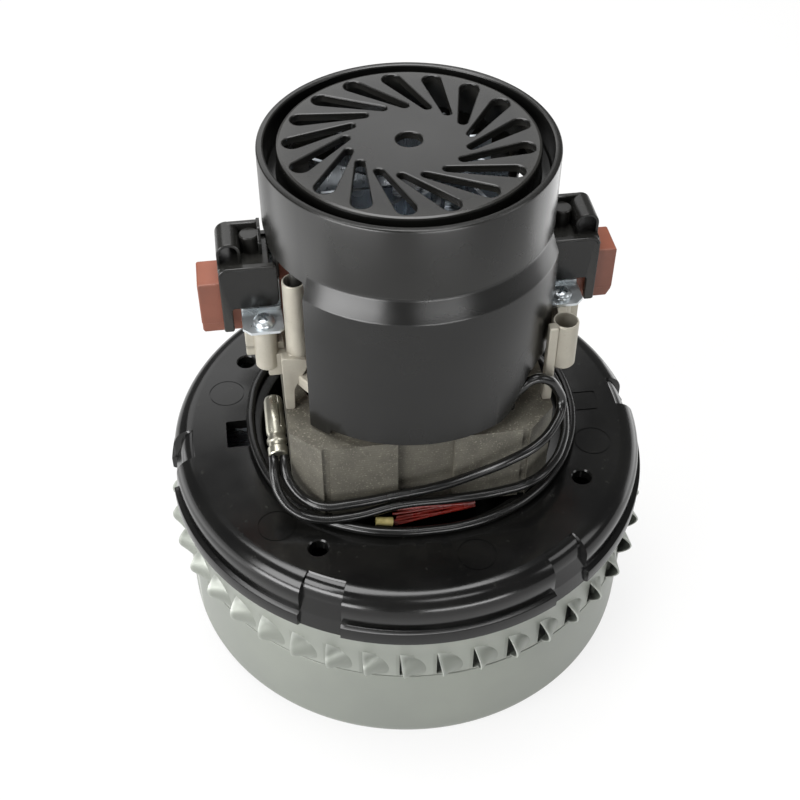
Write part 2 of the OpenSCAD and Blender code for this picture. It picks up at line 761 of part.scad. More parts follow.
// Commutator bracket: ring, pillars, spider and bearing hub, and the arms at both brushes
module brush_arm() {
  arm_z = stack_top;
  foot_w = 2.6;
  cradle_z = holder_z - 4;
  side_y = holder_w / 2 + 0.15;
  web_h = strap_z - cradle_z + 1;
  for (s = [-1, 1]) {
    translate([screw_x, s * screw_y, stub_z]) cylinder(h = strap_z - stub_z, r = boss_d / 2);
    translate([ring_r - 3, s * screw_y - 2, ring_z]) cube([screw_x - ring_r + 3, 4, 8]);
    translate([screw_x + 2, s > 0 ? side_y : -screw_y, cradle_z + 2])
      cube([3.5, screw_y - side_y, strap_z - cradle_z - 2]);
  }
  translate([screw_x - 5, -screw_y, cradle_z]) cube([10.5, 2 * screw_y, holder_z - cradle_z]);
  translate([socket_x, socket_y, socket_z]) cylinder(h = socket_top - socket_z, r = socket_d / 2);
  // Tapering leg below the tall socket
  translate([0, socket_y + 1.2, 0]) mirror([0, 1, 0]) rotate([90, 0, 0]) linear_extrude(3)
    polygon([
      [socket_x - 2, socket_z + 5], [socket_x + 5, socket_z + 6.5], [socket_x + 4.8, arm_z],
      [socket_x + 4.8 - foot_w, arm_z], [socket_x + 4.6 - foot_w, arm_z + 7.5], [socket_x - 1.8, arm_z + 15]
    ]);
  translate([socket_x - 1, socket_y - 1, ring_z]) cube([4, 4, socket_z - ring_z + 2]);
  // Short mounting socket, the strip leg beside it, and the web that ties both to the screw boss
  stub = [stub_x, -stub_y];
  translate([stub_x, -stub_y, stub_z]) cylinder(h = stub_top - stub_z, r = stub_d / 2);
  translate([leg_x, -leg_y, arm_z]) cube([foot_w, leg_t, stub_top - arm_z]);
  translate([0, 0, cradle_z - 1]) {
    bar([leg_x + foot_w / 2, leg_t / 2 - leg_y], stub, foot_w, web_h);
    bar(stub, [screw_x, -screw_y], foot_w, web_h);
  }
}

module commutator_bracket() color(alloy) {
  hub_z = upper_bearing_z - 1;
  hub_h = bearing_w + 2.5;
  hub_r = bearing_d / 2 + hub_t;
  difference() {
    union() {
      translate([0, 0, ring_z]) ring(ring_r, ring_in_r, ring_t);
      translate([0, 0, hub_z]) cylinder(h = hub_h, r = hub_r);
      for (a = pillar_angles) rotate([0, 0, a]) {
        translate([pillar_r, 0, ring_z + 1]) cylinder(h = hub_z + hub_h - 2 - ring_z, r = pillar_d / 2);
        translate([hub_r - 2, -2.2, hub_z + 1]) cube([pillar_r - hub_r + 2, 4.4, hub_h - 3]);
      }
      corners() translate([bolt_x, bolt_y, stack_top])
        cylinder(h = ring_z - stack_top + ring_t / 2, r = post_d / 2);
      half_turns() brush_arm();
    }
    translate([0, 0, upper_bearing_z]) cylinder(h = bearing_w + 3, r = bearing_d / 2);
    translate([0, 0, hub_z - cut]) cylinder(h = bearing_w, r = bearing_d / 2 - 2.5);
    corners() translate([bolt_x, bolt_y, stack_top - cut])
      cylinder(h = ring_z + ring_t - stack_top + 2 * cut, r = frame_bolt_d / 2 + slip);
    corners() translate([screw_x, screw_y, strap_z - screw_l - cut])
      cylinder(h = screw_l + 2 * cut, r = screw_d / 2 + slip);
    half_turns() {
      translate([socket_x, socket_y, socket_z + 2]) cylinder(h = socket_top, r = socket_bore_d / 2);
      translate([stub_x, -stub_y, stub_z + 1.5]) cylinder(h = stub_top, r = stub_bore_d / 2);
    }
  }
}

module frame_bolts() color(zinc) {
  shank_z = stack_z - bolt_grip + 1;
  corners() translate([bolt_x, bolt_y, 0]) {
    translate([0, 0, ring_z + ring_t]) cylinder(h = bolt_head_h, r = bolt_head_d / 2);
    translate([0, 0, shank_z]) cylinder(h = ring_z + ring_t - shank_z + 0.5, r = frame_bolt_d / 2);
  }
}

// Brush gear of the right side, which the left side mirrors
module channel(w, h, x0, x1) {
  translate([x0, -w / 2, brush_z - h / 2]) cube([x1 - x0, w, h]);
}

module brush_holder() color(brown) {
  ledge = 0.5;
  difference() {
    union() {
      translate([tube_in, -holder_w / 2, holder_z]) cube([holder_end - tube_in, holder_w, holder_h]);
      translate([tube_in, -holder_w / 2 - ledge / 2, holder_z])
        cube([screw_x - 6 - tube_in, holder_w + ledge, holder_foot]);
    }
    channel(brush_w + 2 * tube_t + 2 * slip + 0.2, brush_h + 2 * tube_t + 2 * slip + 0.2,
      tube_in - cut, holder_end - holder_wall);
  }
}

module brush_tube() color(brass) {
  out_w = brush_w + 2 * tube_t + 2 * slip;
  out_h = brush_h + 2 * tube_t + 2 * slip;
  difference() {
    channel(out_w, out_h, tube_in - tube_out, holder_end - holder_wall);
    channel(brush_w + 2 * slip, brush_h + 2 * slip, tube_in - tube_out - cut,
      holder_end - holder_wall - tube_end_t);
  }
}

module carbon_brush() color(carbon) {
  channel(brush_w, brush_h, brush_x, brush_x + brush_l);
}

spring_in = brush_x + brush_l + spring_wire_d / 2;
spring_out = holder_end - holder_wall - tube_end_t - spring_wire_d / 2;
spring_rings = 8 * spring_turns;
spring_path = [for (i = [0 : spring_rings]) [
  spring_in + (spring_out - spring_in) * i / spring_rings,
  spring_r * cos(45 * i),
  brush_z + spring_r * sin(45 * i)]];
echo(brush_spring_least_gap = least_gap(spring_path, spring_wire_d, 5));

module brush_spring() color(bright) tube(spring_path, spring_wire_d, 6);

// Plastic cover over the holder, with a leg on each side and a wire guide on top
module brush_cover() color(charcoal) {
  inner_y = cover_y - cover_t;
  strap_clear = strap_t + loose;
  guide_in = cover_out - 2 * guide_r;
  difference() {
    union() {
      translate([cover_in, -cover_y, cover_z]) cube([cover_out - cover_in, 2 * cover_y, cover_top - cover_z]);
      for (s = [-1, 1]) translate([cover_out - cover_leg_w, s > 0 ? inner_y : -cover_y, cover_leg_z])
        cube([cover_leg_w, cover_t, cover_z - cover_leg_z + cut]);
      // Wire guide: an arch at the outer end, a back wall and a curled tongue
      translate([guide_in, guide_y, cover_top - cut])
        cube([cover_out - guide_in, guide_w, guide_h + cut - guide_r]);
      translate([cover_out - guide_r, guide_y, cover_top + guide_h - guide_r]) rotate([-90, 0, 0])
        cylinder(h = guide_w, r = guide_r);
      translate([cover_in + 2, guide_y + guide_w - cover_t, cover_top - cut])
        cube([cover_out - cover_in - 5, cover_t, guide_h + cut]);
      translate([cover_in + 4.6, 2.2, cover_top - cut]) ring(tongue_r, tongue_r - 1.2, guide_h - 2);
    }
    translate([cover_in - cut, -holder_w / 2 - strap_clear, cover_z - cut])
      cube([strap_x + strap_w - cover_in + loose + cut, holder_w + 2 * strap_clear,
        holder_z + holder_h + strap_clear - cover_z + cut]);
    translate([cover_in - cut, -holder_w / 2 - slip, cover_z - cut])
      cube([cover_out - cover_in + 2 * cut, holder_w + 2 * slip, holder_z + holder_h + slip - cover_z + cut]);
    translate([cover_out - guide_r, guide_y - cut, cover_top + guide_h - guide_r]) rotate([-90, 0, 0])
      cylinder(h = guide_w + 2 * cut, r = tunnel_r);
    translate([cover_out - guide_r - tunnel_r, guide_y - cut, cover_top + 1])
      cube([2 * tunnel_r, guide_w + 2 * cut, guide_h - guide_r - 1]);
  }
}

// Zinc strap over the holder, with a foot on each screw boss
module brush_clamp() color(zinc) {
  side = holder_w / 2;
  top = holder_z + holder_h;
  foot_hole = screw_d / 2 + slip;
  difference() {
    union() {
      translate([strap_x, -side - strap_t, top]) cube([strap_w, holder_w + 2 * strap_t, strap_t]);
      for (s = [-1, 1]) {
        translate([strap_x, s > 0 ? side : -side - strap_t, strap_z])
          cube([strap_w, strap_t, top - strap_z + strap_t]);
        translate([strap_x, s > 0 ? side : -strap_y, strap_z]) cube([strap_w, strap_y - side, strap_t]);
      }
    }
    for (s = [-1, 1]) {
      translate([screw_x, s * screw_y, strap_z - cut]) cylinder(h = strap_t + 2 * cut, r = foot_hole);
      translate([strap_x + strap_w, s * strap_y, strap_z - cut]) rotate([0, 0, 45])
        translate([-1.4, -1.4, 0]) cube([2.8, 2.8, strap_t + 2 * cut]);
    }
  }
}

module left_side() {
  mirror([1, 0, 0]) children();
}

module brush_holder_left() left_side() brush_holder();
module brush_holder_right() brush_holder();
module brush_tube_left() left_side() brush_tube();
module brush_tube_right() brush_tube();
module carbon_brush_left() left_side() carbon_brush();
module carbon_brush_right() carbon_brush();
module brush_spring_left() left_side() brush_spring();
module brush_spring_right() brush_spring();
module brush_cover_left() left_side() brush_cover();
module brush_cover_right() brush_cover();
module brush_clamp_left() left_side() brush_clamp();
module brush_clamp_right() brush_clamp();

// Pan head screws with a cross recess
module clamp_screws() color(zinc) {
  head_z = strap_z + strap_t;
  corners() translate([screw_x, screw_y, 0]) difference() {
    union() {
      translate([0, 0, head_z])
        cylinder(h = screw_head_h, r1 = screw_head_d / 2, r2 = screw_head_d / 2 - 0.8);
      translate([0, 0, head_z - screw_l]) cylinder(h = screw_l + screw_head_h / 2, r = screw_d / 2);
    }
    for (a = [45, 135]) rotate([0, 0, a])
      translate([-1.7, -0.35, head_z + screw_head_h - 1.2]) cube([3.4, 0.7, 1.2 + cut]);
  }
}

// Vent cap: grille, groove, upper wall, shoulder, lower panels and the pegs in the sockets
function vent_tangent(a, b, ra, rb, side) =
  let (d = b - a, turn = atan2(d.y, d.x) + acos((ra - rb) / norm(d)) * side, n = [cos(turn), sin(turn)])
  [a + ra * n, b + rb * n];

module vent_slot() {
  wide = [vent_out_r, 0];
  narrow = vent_in_r * [cos(vent_turn), -sin(vent_turn)];
  left = vent_tangent(wide, narrow, vent_w / 2, vent_in_w / 2, 1);
  right = vent_tangent(wide, narrow, vent_w / 2, vent_in_w / 2, -1);
  translate(wide) circle(r = vent_w / 2);
  translate(narrow) circle(r = vent_in_w / 2);
  polygon([left[0], left[1], right[1], right[0]]);
}

module cap_profile() {
  groove_z = cap_top - groove_depth;
  inner_r = cap_r - cap_t;
  wall_in = grille_r - grille_wall_t;
  translate([inner_r, cap_wall_z]) square([cap_t, cap_top - cap_wall_z]);
  translate([wall_in, groove_z - grille_wall_t]) square([inner_r - wall_in + cap_t / 2, grille_wall_t]);
  translate([wall_in, groove_z - grille_wall_t]) square([grille_wall_t, groove_depth + grille_wall_t]);
  translate([0, cap_top - cap_t]) square([grille_r, cap_t]);
}

module panel_profile() {
  polygon([
    [panel_r, panel_tab_z], [panel_r, shoulder_z], [cap_r - 0.1, shoulder_top],
    [cap_r - cap_t / 2, shoulder_top], [cap_r - cap_t / 2, shoulder_z + 4],
    [panel_r - cap_t, shoulder_z - 2], [panel_r - cap_t, panel_tab_z]
  ]);
}

module vent_cap() color(charcoal) {
  difference() {
    union() {
      // Between the panels the wall ends higher
      difference() {
        rotate_extrude() cap_profile();
        half_turns() translate([0, 0, cap_wall_z - cut])
          sector(cap_r + cut, cap_r - cap_t - cut, gap_wall_z - cap_wall_z + cut,
            panel_start + panel_span + gap_wall_turn, 180 - panel_span - 2 * gap_wall_turn);
      }
      half_turns() {
        rotate([0, 0, panel_start]) rotate_extrude(angle = panel_span) panel_profile();
        translate([socket_x, socket_y, socket_top - peg_depth])
          cylinder(h = cap_top - groove_depth - socket_top + peg_depth - grille_wall_t / 2, r = peg_d / 2);
      }
    }
    half_turns() {
      translate([0, 0, panel_tab_z - cut])
        sector(panel_r + cut, panel_r - cap_t - cut, panel_z - panel_tab_z + cut,
          panel_start + panel_tab_span, panel_span);
      translate([0, 0, panel_tab_z - 2 * cut])
        sector(panel_r + 2 * cut, panel_r - cap_t - 2 * cut, arch_z - panel_tab_z + 2 * cut,
          panel_start + panel_span - arch_span, arch_span + 2);
    }
    translate([0, 0, cap_top - cap_t - cut]) linear_extrude(cap_t + 2 * cut) {
      circle(r = hub_hole_d / 2);
      for (i = [0 : vent_n - 1]) rotate([0, 0, vent_start + i * 360 / vent_n]) vent_slot();
    }
  }
}

// Crimp terminal along the side of the core: a barrel, open at its far end, crimped on the leads in front
module crimp_terminal() color(bright) {
  crimp_h = crimp_l * 0.35;
  translate([crimp_x, crimp_y, crimp_z]) rotate([-crimp_lean, 0, 0]) difference() {
    cylinder(h = crimp_l, r = crimp_d / 2);
    translate([0, 0, crimp_h]) cylinder(h = crimp_l, r = crimp_d / 2 - 0.7);
    translate([0, 0, crimp_h * 0.6]) ring(crimp_d, crimp_d / 2 - 0.3, 1.6);
  }
}

jumper_path = curve(jumper_points, 2);
supply_path = curve(supply_points, 1);
echo(jumper_lead_least_gap = least_gap(jumper_path, lead_d, 5));
echo(supply_lead_least_gap = least_gap(supply_path, lead_d, 4));

module jumper_lead() color(black) tube(jumper_path, lead_d, 8);
module supply_lead() color(black) tube(supply_path, lead_d, 8);

fan_housing();
stage_divider();
fan_end_bracket();
field_core();
field_coil_front();
field_coil_back();
commutator_bracket();
frame_bolts();
vent_cap();
lower_bearing_outer_race();
upper_bearing_outer_race();
brush_holder_left();
brush_holder_right();
brush_tube_left();
brush_tube_right();
brush_spring_left();
brush_spring_right();
brush_cover_left();
brush_cover_right();
brush_clamp_left();
brush_clamp_right();
clamp_screws();
crimp_terminal();
jumper_lead();
supply_lead();
shaft();
lower_bearing_inner_race();
upper_bearing_inner_race();
armature_core();
armature_winding();
commutator();
commutator_riser();
cooling_fan();
first_fan_shroud();
first_fan_blades();
first_fan_back_plate();
second_fan_shroud();
second_fan_blades();
second_fan_back_plate();
fan_spacer();
bearing_spacer();
fan_washers();
fan_nut();
lower_bearing_balls();
lower_bearing_cage();
upper_bearing_balls();
upper_bearing_cage();
carbon_brush_left();
carbon_brush_right();
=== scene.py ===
import bpy
import bmesh
import math
from mathutils import Matrix, Quaternion, Vector


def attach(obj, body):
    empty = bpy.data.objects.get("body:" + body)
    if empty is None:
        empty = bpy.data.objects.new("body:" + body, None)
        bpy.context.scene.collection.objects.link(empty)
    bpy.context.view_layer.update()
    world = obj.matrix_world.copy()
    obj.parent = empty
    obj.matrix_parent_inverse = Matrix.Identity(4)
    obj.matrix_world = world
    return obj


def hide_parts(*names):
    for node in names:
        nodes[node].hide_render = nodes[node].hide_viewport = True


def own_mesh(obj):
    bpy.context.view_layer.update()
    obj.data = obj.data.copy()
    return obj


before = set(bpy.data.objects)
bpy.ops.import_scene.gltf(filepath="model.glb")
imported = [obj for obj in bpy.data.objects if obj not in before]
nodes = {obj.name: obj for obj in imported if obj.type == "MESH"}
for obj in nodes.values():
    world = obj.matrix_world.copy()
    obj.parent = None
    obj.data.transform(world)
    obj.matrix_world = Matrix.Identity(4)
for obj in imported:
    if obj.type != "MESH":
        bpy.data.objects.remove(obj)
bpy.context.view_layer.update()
scene = bpy.context.scene
scene.view_settings.view_transform = "Standard"
mm = 0.001
corners = ((1, 1), (1, -1), (-1, 1), (-1, -1))  # signs of X and Y for what stands four times
print("frame loaded:", len(nodes), "nodes")


def addObject(name, data):
    thing = bpy.data.objects.new(name, data)
    scene.collection.objects.link(thing)
    return thing


def facing(place, aim):
    return (Vector(aim) - Vector(place)).to_track_quat("-Z", "Y")


# Camera fitted to the flange holes, the case foot and the cap rim of the photograph
cameraPlace = {"eye": (-42.4, -267.9, 341.5), "target": (0.0, 0.0, 75.2), "sensor": 36.0, "lens": 55.88,
               "shiftX": -0.0083, "rollDeg": 0.57, "nearest": 0.01}


def makeCamera(place):
    data = bpy.data.cameras.new("photoCamera")
    data.sensor_width, data.lens, data.shift_x = place["sensor"], place["lens"], place["shiftX"]
    data.clip_start = place["nearest"]
    camera = addObject("photoCamera", data)
    eye, target = Vector(place["eye"]) * mm, Vector(place["target"]) * mm
    camera.rotation_mode = "QUATERNION"
    camera.rotation_quaternion = facing(eye, target) @ Quaternion((0, 0, 1), math.radians(place["rollDeg"]))
    camera.location = eye
    scene.camera = camera


makeCamera(cameraPlace)
print("camera placed")


def linear(hexColour):
    parts = [int(hexColour[i:i + 2], 16) / 255 for i in (1, 3, 5)]
    return [c / 12.92 if c <= 0.04045 else ((c + 0.055) / 1.055) ** 2.4 for c in parts] + [1.0]


def addNode(tree, kind, values=None, links=None, **settings):
    node = tree.nodes.new("ShaderNode" + kind)
    for key, value in settings.items():
        setattr(node, key, value)
    for key, value in (values or {}).items():
        node.inputs[key].default_value = value
    for key, source in (links or {}).items():
        tree.links.new(source, node.inputs[key])
    return node


def noise(tree, coords, sizeMm, detail, roughness=0.5):
    values = {"Scale": 1 / (sizeMm * mm), "Detail": detail, "Roughness": roughness}
    return addNode(tree, "TexNoise", values, {"Vector": coords}).outputs["Fac"]


def ramp(tree, value, low, high, bottom=0.0, top=1.0):
    values = {"From Min": low, "From Max": high, "To Min": bottom, "To Max": top}
    return addNode(tree, "MapRange", values, {"Value": value}).outputs[0]


def combine(tree, operation, a, b):
    return addNode(tree, "Math", links={0: a, 1: b}, operation=operation).outputs[0]


def overlay(tree, colour, mask, hexColour):
    links = {0: mask, 6: colour}
    return addNode(tree, "Mix", {7: linear(hexColour)}, links, data_type="RGBA").outputs[2]


# One recipe for every finish: mottling, grain, then flecks, sheet edges, worn edges and lint where the look asks
recipe = {"tone": (0.36, 0.64), "fleckSoft": 0.08, "upright": (0.5, 0.1), "worn": (0.52, 0.62), "lint": (0.6, 0.78),
          "faceUp": (0.1, 0.9), "roughFrom": (0.3, 0.7), "coatRough": 0.12, "waver": 0.6}


def makeFinish(name, look):
    material = bpy.data.materials.new(name)
    material.use_nodes = True
    tree = material.node_tree
    shader = tree.nodes["Principled BSDF"]
    coords = addNode(tree, "TexCoord").outputs["Object"]
    geometry = addNode(tree, "NewGeometry")
    faceZ = addNode(tree, "SeparateXYZ", links={0: geometry.outputs["Normal"]}).outputs["Z"]
    if "stretch" in look:  # draws the pattern out along the rolling or drawing direction
        coords = addNode(tree, "Mapping", {"Scale": look["stretch"]}, {"Vector": coords}).outputs[0]
    patches = noise(tree, coords, look["patchMm"], 5.0)
    grain = noise(tree, coords, look["grainMm"], 3.0, 0.6)
    tone = ramp(tree, patches, *recipe["tone"])
    colour = addNode(tree, "Mix", {6: linear(look["base"]), 7: linear(look["patch"])}, {0: tone},
                     data_type="RGBA").outputs[2]
    if "fleck" in look:
        hexColour, least, share = look["fleck"]
        mask = ramp(tree, grain, least, least + recipe["fleckSoft"], top=share)
        colour = overlay(tree, colour, mask, hexColour)
    if "layers" in look:  # sheet edges, stacked along the shaft
        hexColour, layerMm, share = look["layers"]
        waves = 2 * math.pi / (20 * layerMm * mm)
        band = addNode(tree, "TexWave", {"Scale": waves, "Distortion": recipe["waver"], "Detail": 2.0},
                       {"Vector": coords}, bands_direction="Z")
        lying = addNode(tree, "Math", links={0: faceZ}, operation="ABSOLUTE").outputs[0]
        mask = ramp(tree, lying, *recipe["upright"], top=share)
        colour = overlay(tree, colour, combine(tree, "MULTIPLY", mask, band.outputs["Fac"]), hexColour)
    if "wear" in look:
        hexColour, share = look["wear"]
        mask = ramp(tree, geometry.outputs["Pointiness"], *recipe["worn"], top=share)
        colour = overlay(tree, colour, mask, hexColour)
    if "dust" in look:
        hexColour, lintMm, share = look["dust"]
        mask = ramp(tree, noise(tree, coords, lintMm, 9.0, 0.75), *recipe["lint"], top=share)
        upward = ramp(tree, faceZ, *recipe["faceUp"])
        colour = overlay(tree, colour, combine(tree, "MULTIPLY", mask, upward), hexColour)
    rough = ramp(tree, patches, *recipe["roughFrom"], *look["rough"])
    bump = addNode(tree, "Bump", {"Strength": look["bump"], "Distance": look["depthMm"] * mm},
                   {"Height": grain}).outputs[0]
    for socket, source in (("Base Color", colour), ("Roughness", rough), ("Normal", bump)):
        tree.links.new(source, shader.inputs[socket])
    for socket, value in (("Metallic", look.get("metallic", 0.0)), ("IOR", look.get("ior", 1.5)),
                          ("Coat Weight", look.get("coat", 0.0)), ("Coat Roughness", recipe["coatRough"])):
        shader.inputs[socket].default_value = value
    return material


# Each finish starts from what the real material is, and its note says what that gives the eye
finishColumns = ("base", "patch", "patchMm", "grainMm", "rough", "bump", "depthMm")
finishes = {
    # zinc-coated sheet steel, deep drawn: pale satin grey with faint cloudy patches and soft broad lights
    "drawnSheetSteel": (
        ("#868a83", "#8e928a", 30, 1.2, (0.34, 0.46), 0.15, 0.06),
        {"metallic": 0.25, "wear": ("#d5d8d2", 0.5)}),
    # glass-filled nylon, moulded in a polished tool: deep black, wet-looking lights, lint on what faces up
    "polishedBlackNylon": (
        ("#0d0d0d", "#121211", 18, 0.9, (0.14, 0.22), 0.1, 0.04),
        {"ior": 1.43, "dust": ("#77776f", 2.6, 0.2)}),
    # glass-filled polyester, moulded with a satin skin: charcoal, soft lights, glass flecks at the edges
    "satinCharcoalPolyester": (
        ("#0f0f0e", "#131312", 22, 0.5, (0.22, 0.29), 0.2, 0.03),
        {"ior": 1.43, "wear": ("#4c4b47", 0.35), "fleck": ("#3c3b37", 0.68, 0.2), "dust": ("#55544e", 2.4, 0.12)}),
    # wood-flour phenolic, hot pressed: dull red-brown with fine pale specks
    "pressedPhenolic": (
        ("#844631", "#783e2a", 9, 0.5, (0.42, 0.55), 0.25, 0.05),
        {"wear": ("#9c6a54", 0.35), "fleck": ("#966650", 0.66, 0.3)}),
    # aluminium die casting, as tumbled: sandy pale grey, matt, with bright rubbed rims
    "tumbledDieCasting": (
        ("#959085", "#a29d91", 6, 0.5, (0.42, 0.55), 0.6, 0.07),
        {"metallic": 0.35, "wear": ("#cfcabb", 0.6), "fleck": ("#7d7768", 0.6, 0.4)}),
    # zinc-plated steel: bluish grey with crisp lights and a faint bloom
    "zincPlate": (
        ("#9fa6aa", "#b4babd", 4, 0.5, (0.24, 0.36), 0.2, 0.03),
        {"metallic": 0.85, "wear": ("#e6eaec", 0.5)}),
    # varnished electrical sheet, stamped and stacked: sandy grey-green, speckled; 0.5 mm sheets drawn at 0.9 mm to show
    "varnishedLaminations": (
        ("#6e6b61", "#59564d", 6, 0.55, (0.45, 0.6), 0.5, 0.06),
        {"metallic": 0.2, "fleck": ("#aaa596", 0.58, 0.55), "layers": ("#5d5a50", 0.9, 0.45)}),
    # enamelled copper wire: dark oxide red under a clear glossy skin
    "enamelledCopper": (("#7d2016", "#5f1710", 6, 0.7, (0.22, 0.34), 0.1, 0.02), {"coat": 0.4}),
    # hard-drawn copper bars, turned and run in: warm bright metal with dark tracks
    "turnedCopper": (
        ("#b06a3c", "#8f5330", 3, 0.3, (0.2, 0.34), 0.15, 0.02),
        {"metallic": 1.0, "stretch": (1, 1, 4)}),
    # silicone rubber lead, extruded: smooth black with narrow soft lights
    "extrudedSilicone": (("#0b0b0b", "#111110", 9, 0.5, (0.2, 0.3), 0.12, 0.02), {"dust": ("#4c4c48", 2, 0.12)}),
    # tinned brass strip, rolled to a barrel: grey-white metal, slightly dulled
    "tinnedStrip": (("#a9a79a", "#8f8d82", 3, 0.4, (0.26, 0.4), 0.2, 0.02), {"metallic": 0.9}),
    # pressed aluminium sheet: cold bright metal with rolling marks across it
    "pressedAluminium": (
        ("#c6cbd0", "#b3b9bf", 8, 0.6, (0.22, 0.34), 0.12, 0.02),
        {"metallic": 1.0, "stretch": (1, 6, 1)}),
    # through-hardened bearing steel, ground: mirror-like grey
    "groundSteel": (("#b8bcc0", "#a9adb1", 4, 0.3, (0.12, 0.22), 0.08, 0.01), {"metallic": 1.0}),
    # mild steel bar and plate, cut and oiled: plain mid grey
    "oiledSteel": (("#9a9c9c", "#85878a", 5, 0.5, (0.26, 0.4), 0.2, 0.02), {"metallic": 1.0}),
    # rolled brass sheet: yellow metal, a little tarnished
    "rolledBrass": (("#b2924c", "#947a40", 5, 0.4, (0.26, 0.4), 0.15, 0.02), {"metallic": 1.0}),
    # spring wire, drawn and blued: thin dark lines of light
    "drawnSpringWire": (("#8b9096", "#6f7479", 2, 0.3, (0.2, 0.3), 0.1, 0.01), {"metallic": 1.0}),
    # electrographite: soot black with a faint metallic bloom
    "electrographite": (("#2c2c2d", "#383839", 2, 0.3, (0.4, 0.55), 0.3, 0.03), {"metallic": 0.2}),
    # varnished glass sleeving: straw yellow braid over the winding's ends
    "glassSleeving": (("#cdbf80", "#b3a568", 1.5, 0.4, (0.4, 0.55), 0.5, 0.05), {}),
}
finish = {name: makeFinish(name, dict(zip(finishColumns, row), **more)) for name, (row, more) in finishes.items()}
print("finishes made:", len(finish))

# Tools for the shapes: distances in mm at which points are welded, and how an edge is broken
toolLook = {"weld": 0.002, "turnedWeld": 0.001, "ringWeld": 0.004, "softDeg": 30.0, "edgeSegments": 2}
planes = {  # "xz" stands the outline up with the thickness along Y, "yz" with the thickness along X
    "xy": Matrix.Identity(4),
    "xz": Matrix(((1, 0, 0, 0), (0, 0, 1, 0), (0, 1, 0, 0), (0, 0, 0, 1))),
    "yz": Matrix(((0, 0, 1, 0), (1, 0, 0, 0), (0, 1, 0, 0), (0, 0, 0, 1))),
}


def turnZ(deg, size=4):
    return Matrix.Rotation(math.radians(deg), size, "Z")


def polar(radius, deg):
    return radius * math.cos(math.radians(deg)), radius * math.sin(math.radians(deg))


def showMesh(name, mesh, finishName, stands=(), body="frame", sharpDeg=38.0):
    mesh.materials.clear()
    mesh.materials.append(finish[finishName])
    mesh.polygons.foreach_set("use_smooth", [True] * len(mesh.polygons))
    mesh.set_sharp_from_angle(angle=math.radians(sharpDeg))
    piece = addObject(name, mesh)
    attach(piece, body)
    if stands:
        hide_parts(*stands)
    return piece


# Brings a shape in mm to a mesh in metres
def meshFrom(name, shape):
    bmesh.ops.recalc_face_normals(shape, faces=shape.faces)
    bmesh.ops.scale(shape, vec=(mm, mm, mm), verts=shape.verts)
    mesh = bpy.data.meshes.new(name)
    shape.to_mesh(mesh)
    shape.free()
    return mesh


def finishPiece(name, shape, finishName, stands=(), sharpDeg=21.0):
    bmesh.ops.remove_doubles(shape, verts=shape.verts, dist=toolLook["weld"])
    return showMesh(name, meshFrom(name, shape), finishName, stands, sharpDeg=sharpDeg)


def join(target, shape, *matrices):
    for matrix in matrices:
        bmesh.ops.transform(shape, matrix=matrix, verts=shape.verts)
    temp = bpy.data.meshes.new("temp")
    shape.to_mesh(temp)
    shape.free()
    target.from_mesh(temp)
    bpy.data.meshes.remove(temp)


def sharpEdges(shape, leastDeg):
    least = math.radians(leastDeg)
    return [e for e in shape.edges if len(e.link_faces) == 2 and e.calc_face_angle(0.0) > least]


def breakEdges(shape, edges, radius):
    if edges and radius > 0:
        bmesh.ops.bevel(shape, geom=edges, offset=radius, offset_type="OFFSET", segments=toolLook["edgeSegments"],
                        profile=0.5, affect="EDGES", clamp_overlap=True, material=-1)


def blockShape(low, high, radius=0.3):
    shape = bmesh.new()
    bmesh.ops.create_cube(shape, size=1.0)
    bmesh.ops.scale(shape, vec=Vector(high) - Vector(low), verts=shape.verts)
    bmesh.ops.translate(shape, vec=(Vector(high) + Vector(low)) / 2, verts=shape.verts)
    breakEdges(shape, sharpEdges(shape, toolLook["softDeg"]), radius)
    return shape


# Turns a profile of radius and height; one that ends on the axis stays open, any other is closed to a ring
def turnedShape(profile, steps, startDeg=0.0, sweepDeg=360.0, at=(0, 0)):
    shape = bmesh.new()
    closed = profile[0][0] > 0 and profile[-1][0] > 0
    verts = [shape.verts.new((r, 0, z)) for r, z in profile]
    pairs = list(zip(verts, verts[1:])) + ([(verts[-1], verts[0])] if closed else [])
    edges = [shape.edges.new(pair) for pair in pairs]
    bmesh.ops.rotate(shape, cent=(0, 0, 0), matrix=turnZ(startDeg, 3), verts=verts)
    bmesh.ops.spin(shape, geom=verts + edges, cent=(0, 0, 0), axis=(0, 0, 1), angle=math.radians(sweepDeg),
                   steps=steps, use_merge=sweepDeg == 360.0, use_duplicate=False)
    if sweepDeg != 360.0:
        bmesh.ops.holes_fill(shape, edges=[e for e in shape.edges if e.is_boundary], sides=0)
    bmesh.ops.remove_doubles(shape, verts=shape.verts, dist=toolLook["turnedWeld"])
    bmesh.ops.translate(shape, vec=(at[0], at[1], 0), verts=shape.verts)
    return shape


def plateShape(outline, low, high, holes=(), radius=0.0, plane="xy"):
    shape = bmesh.new()
    rows = []
    for loop in (outline, *holes):
        verts = [shape.verts.new((x, y, high)) for x, y in loop]
        rows.append(verts)
        for a, b in zip(verts, verts[1:] + verts[:1]):
            shape.edges.new((a, b))
    if holes:
        bmesh.ops.triangle_fill(shape, use_beauty=True, use_dissolve=False, edges=shape.edges[:], normal=(0, 0, 1))
    else:
        shape.faces.new(rows[0])
    grown = bmesh.ops.extrude_face_region(shape, geom=shape.faces[:])["geom"]
    moved = [g for g in grown if isinstance(g, bmesh.types.BMVert)]
    bmesh.ops.translate(shape, vec=(0, 0, low - high), verts=moved)
    bmesh.ops.recalc_face_normals(shape, faces=shape.faces)
    breakEdges(shape, sharpEdges(shape, toolLook["softDeg"]), radius)
    bmesh.ops.transform(shape, matrix=planes[plane], verts=shape.verts)
    return shape


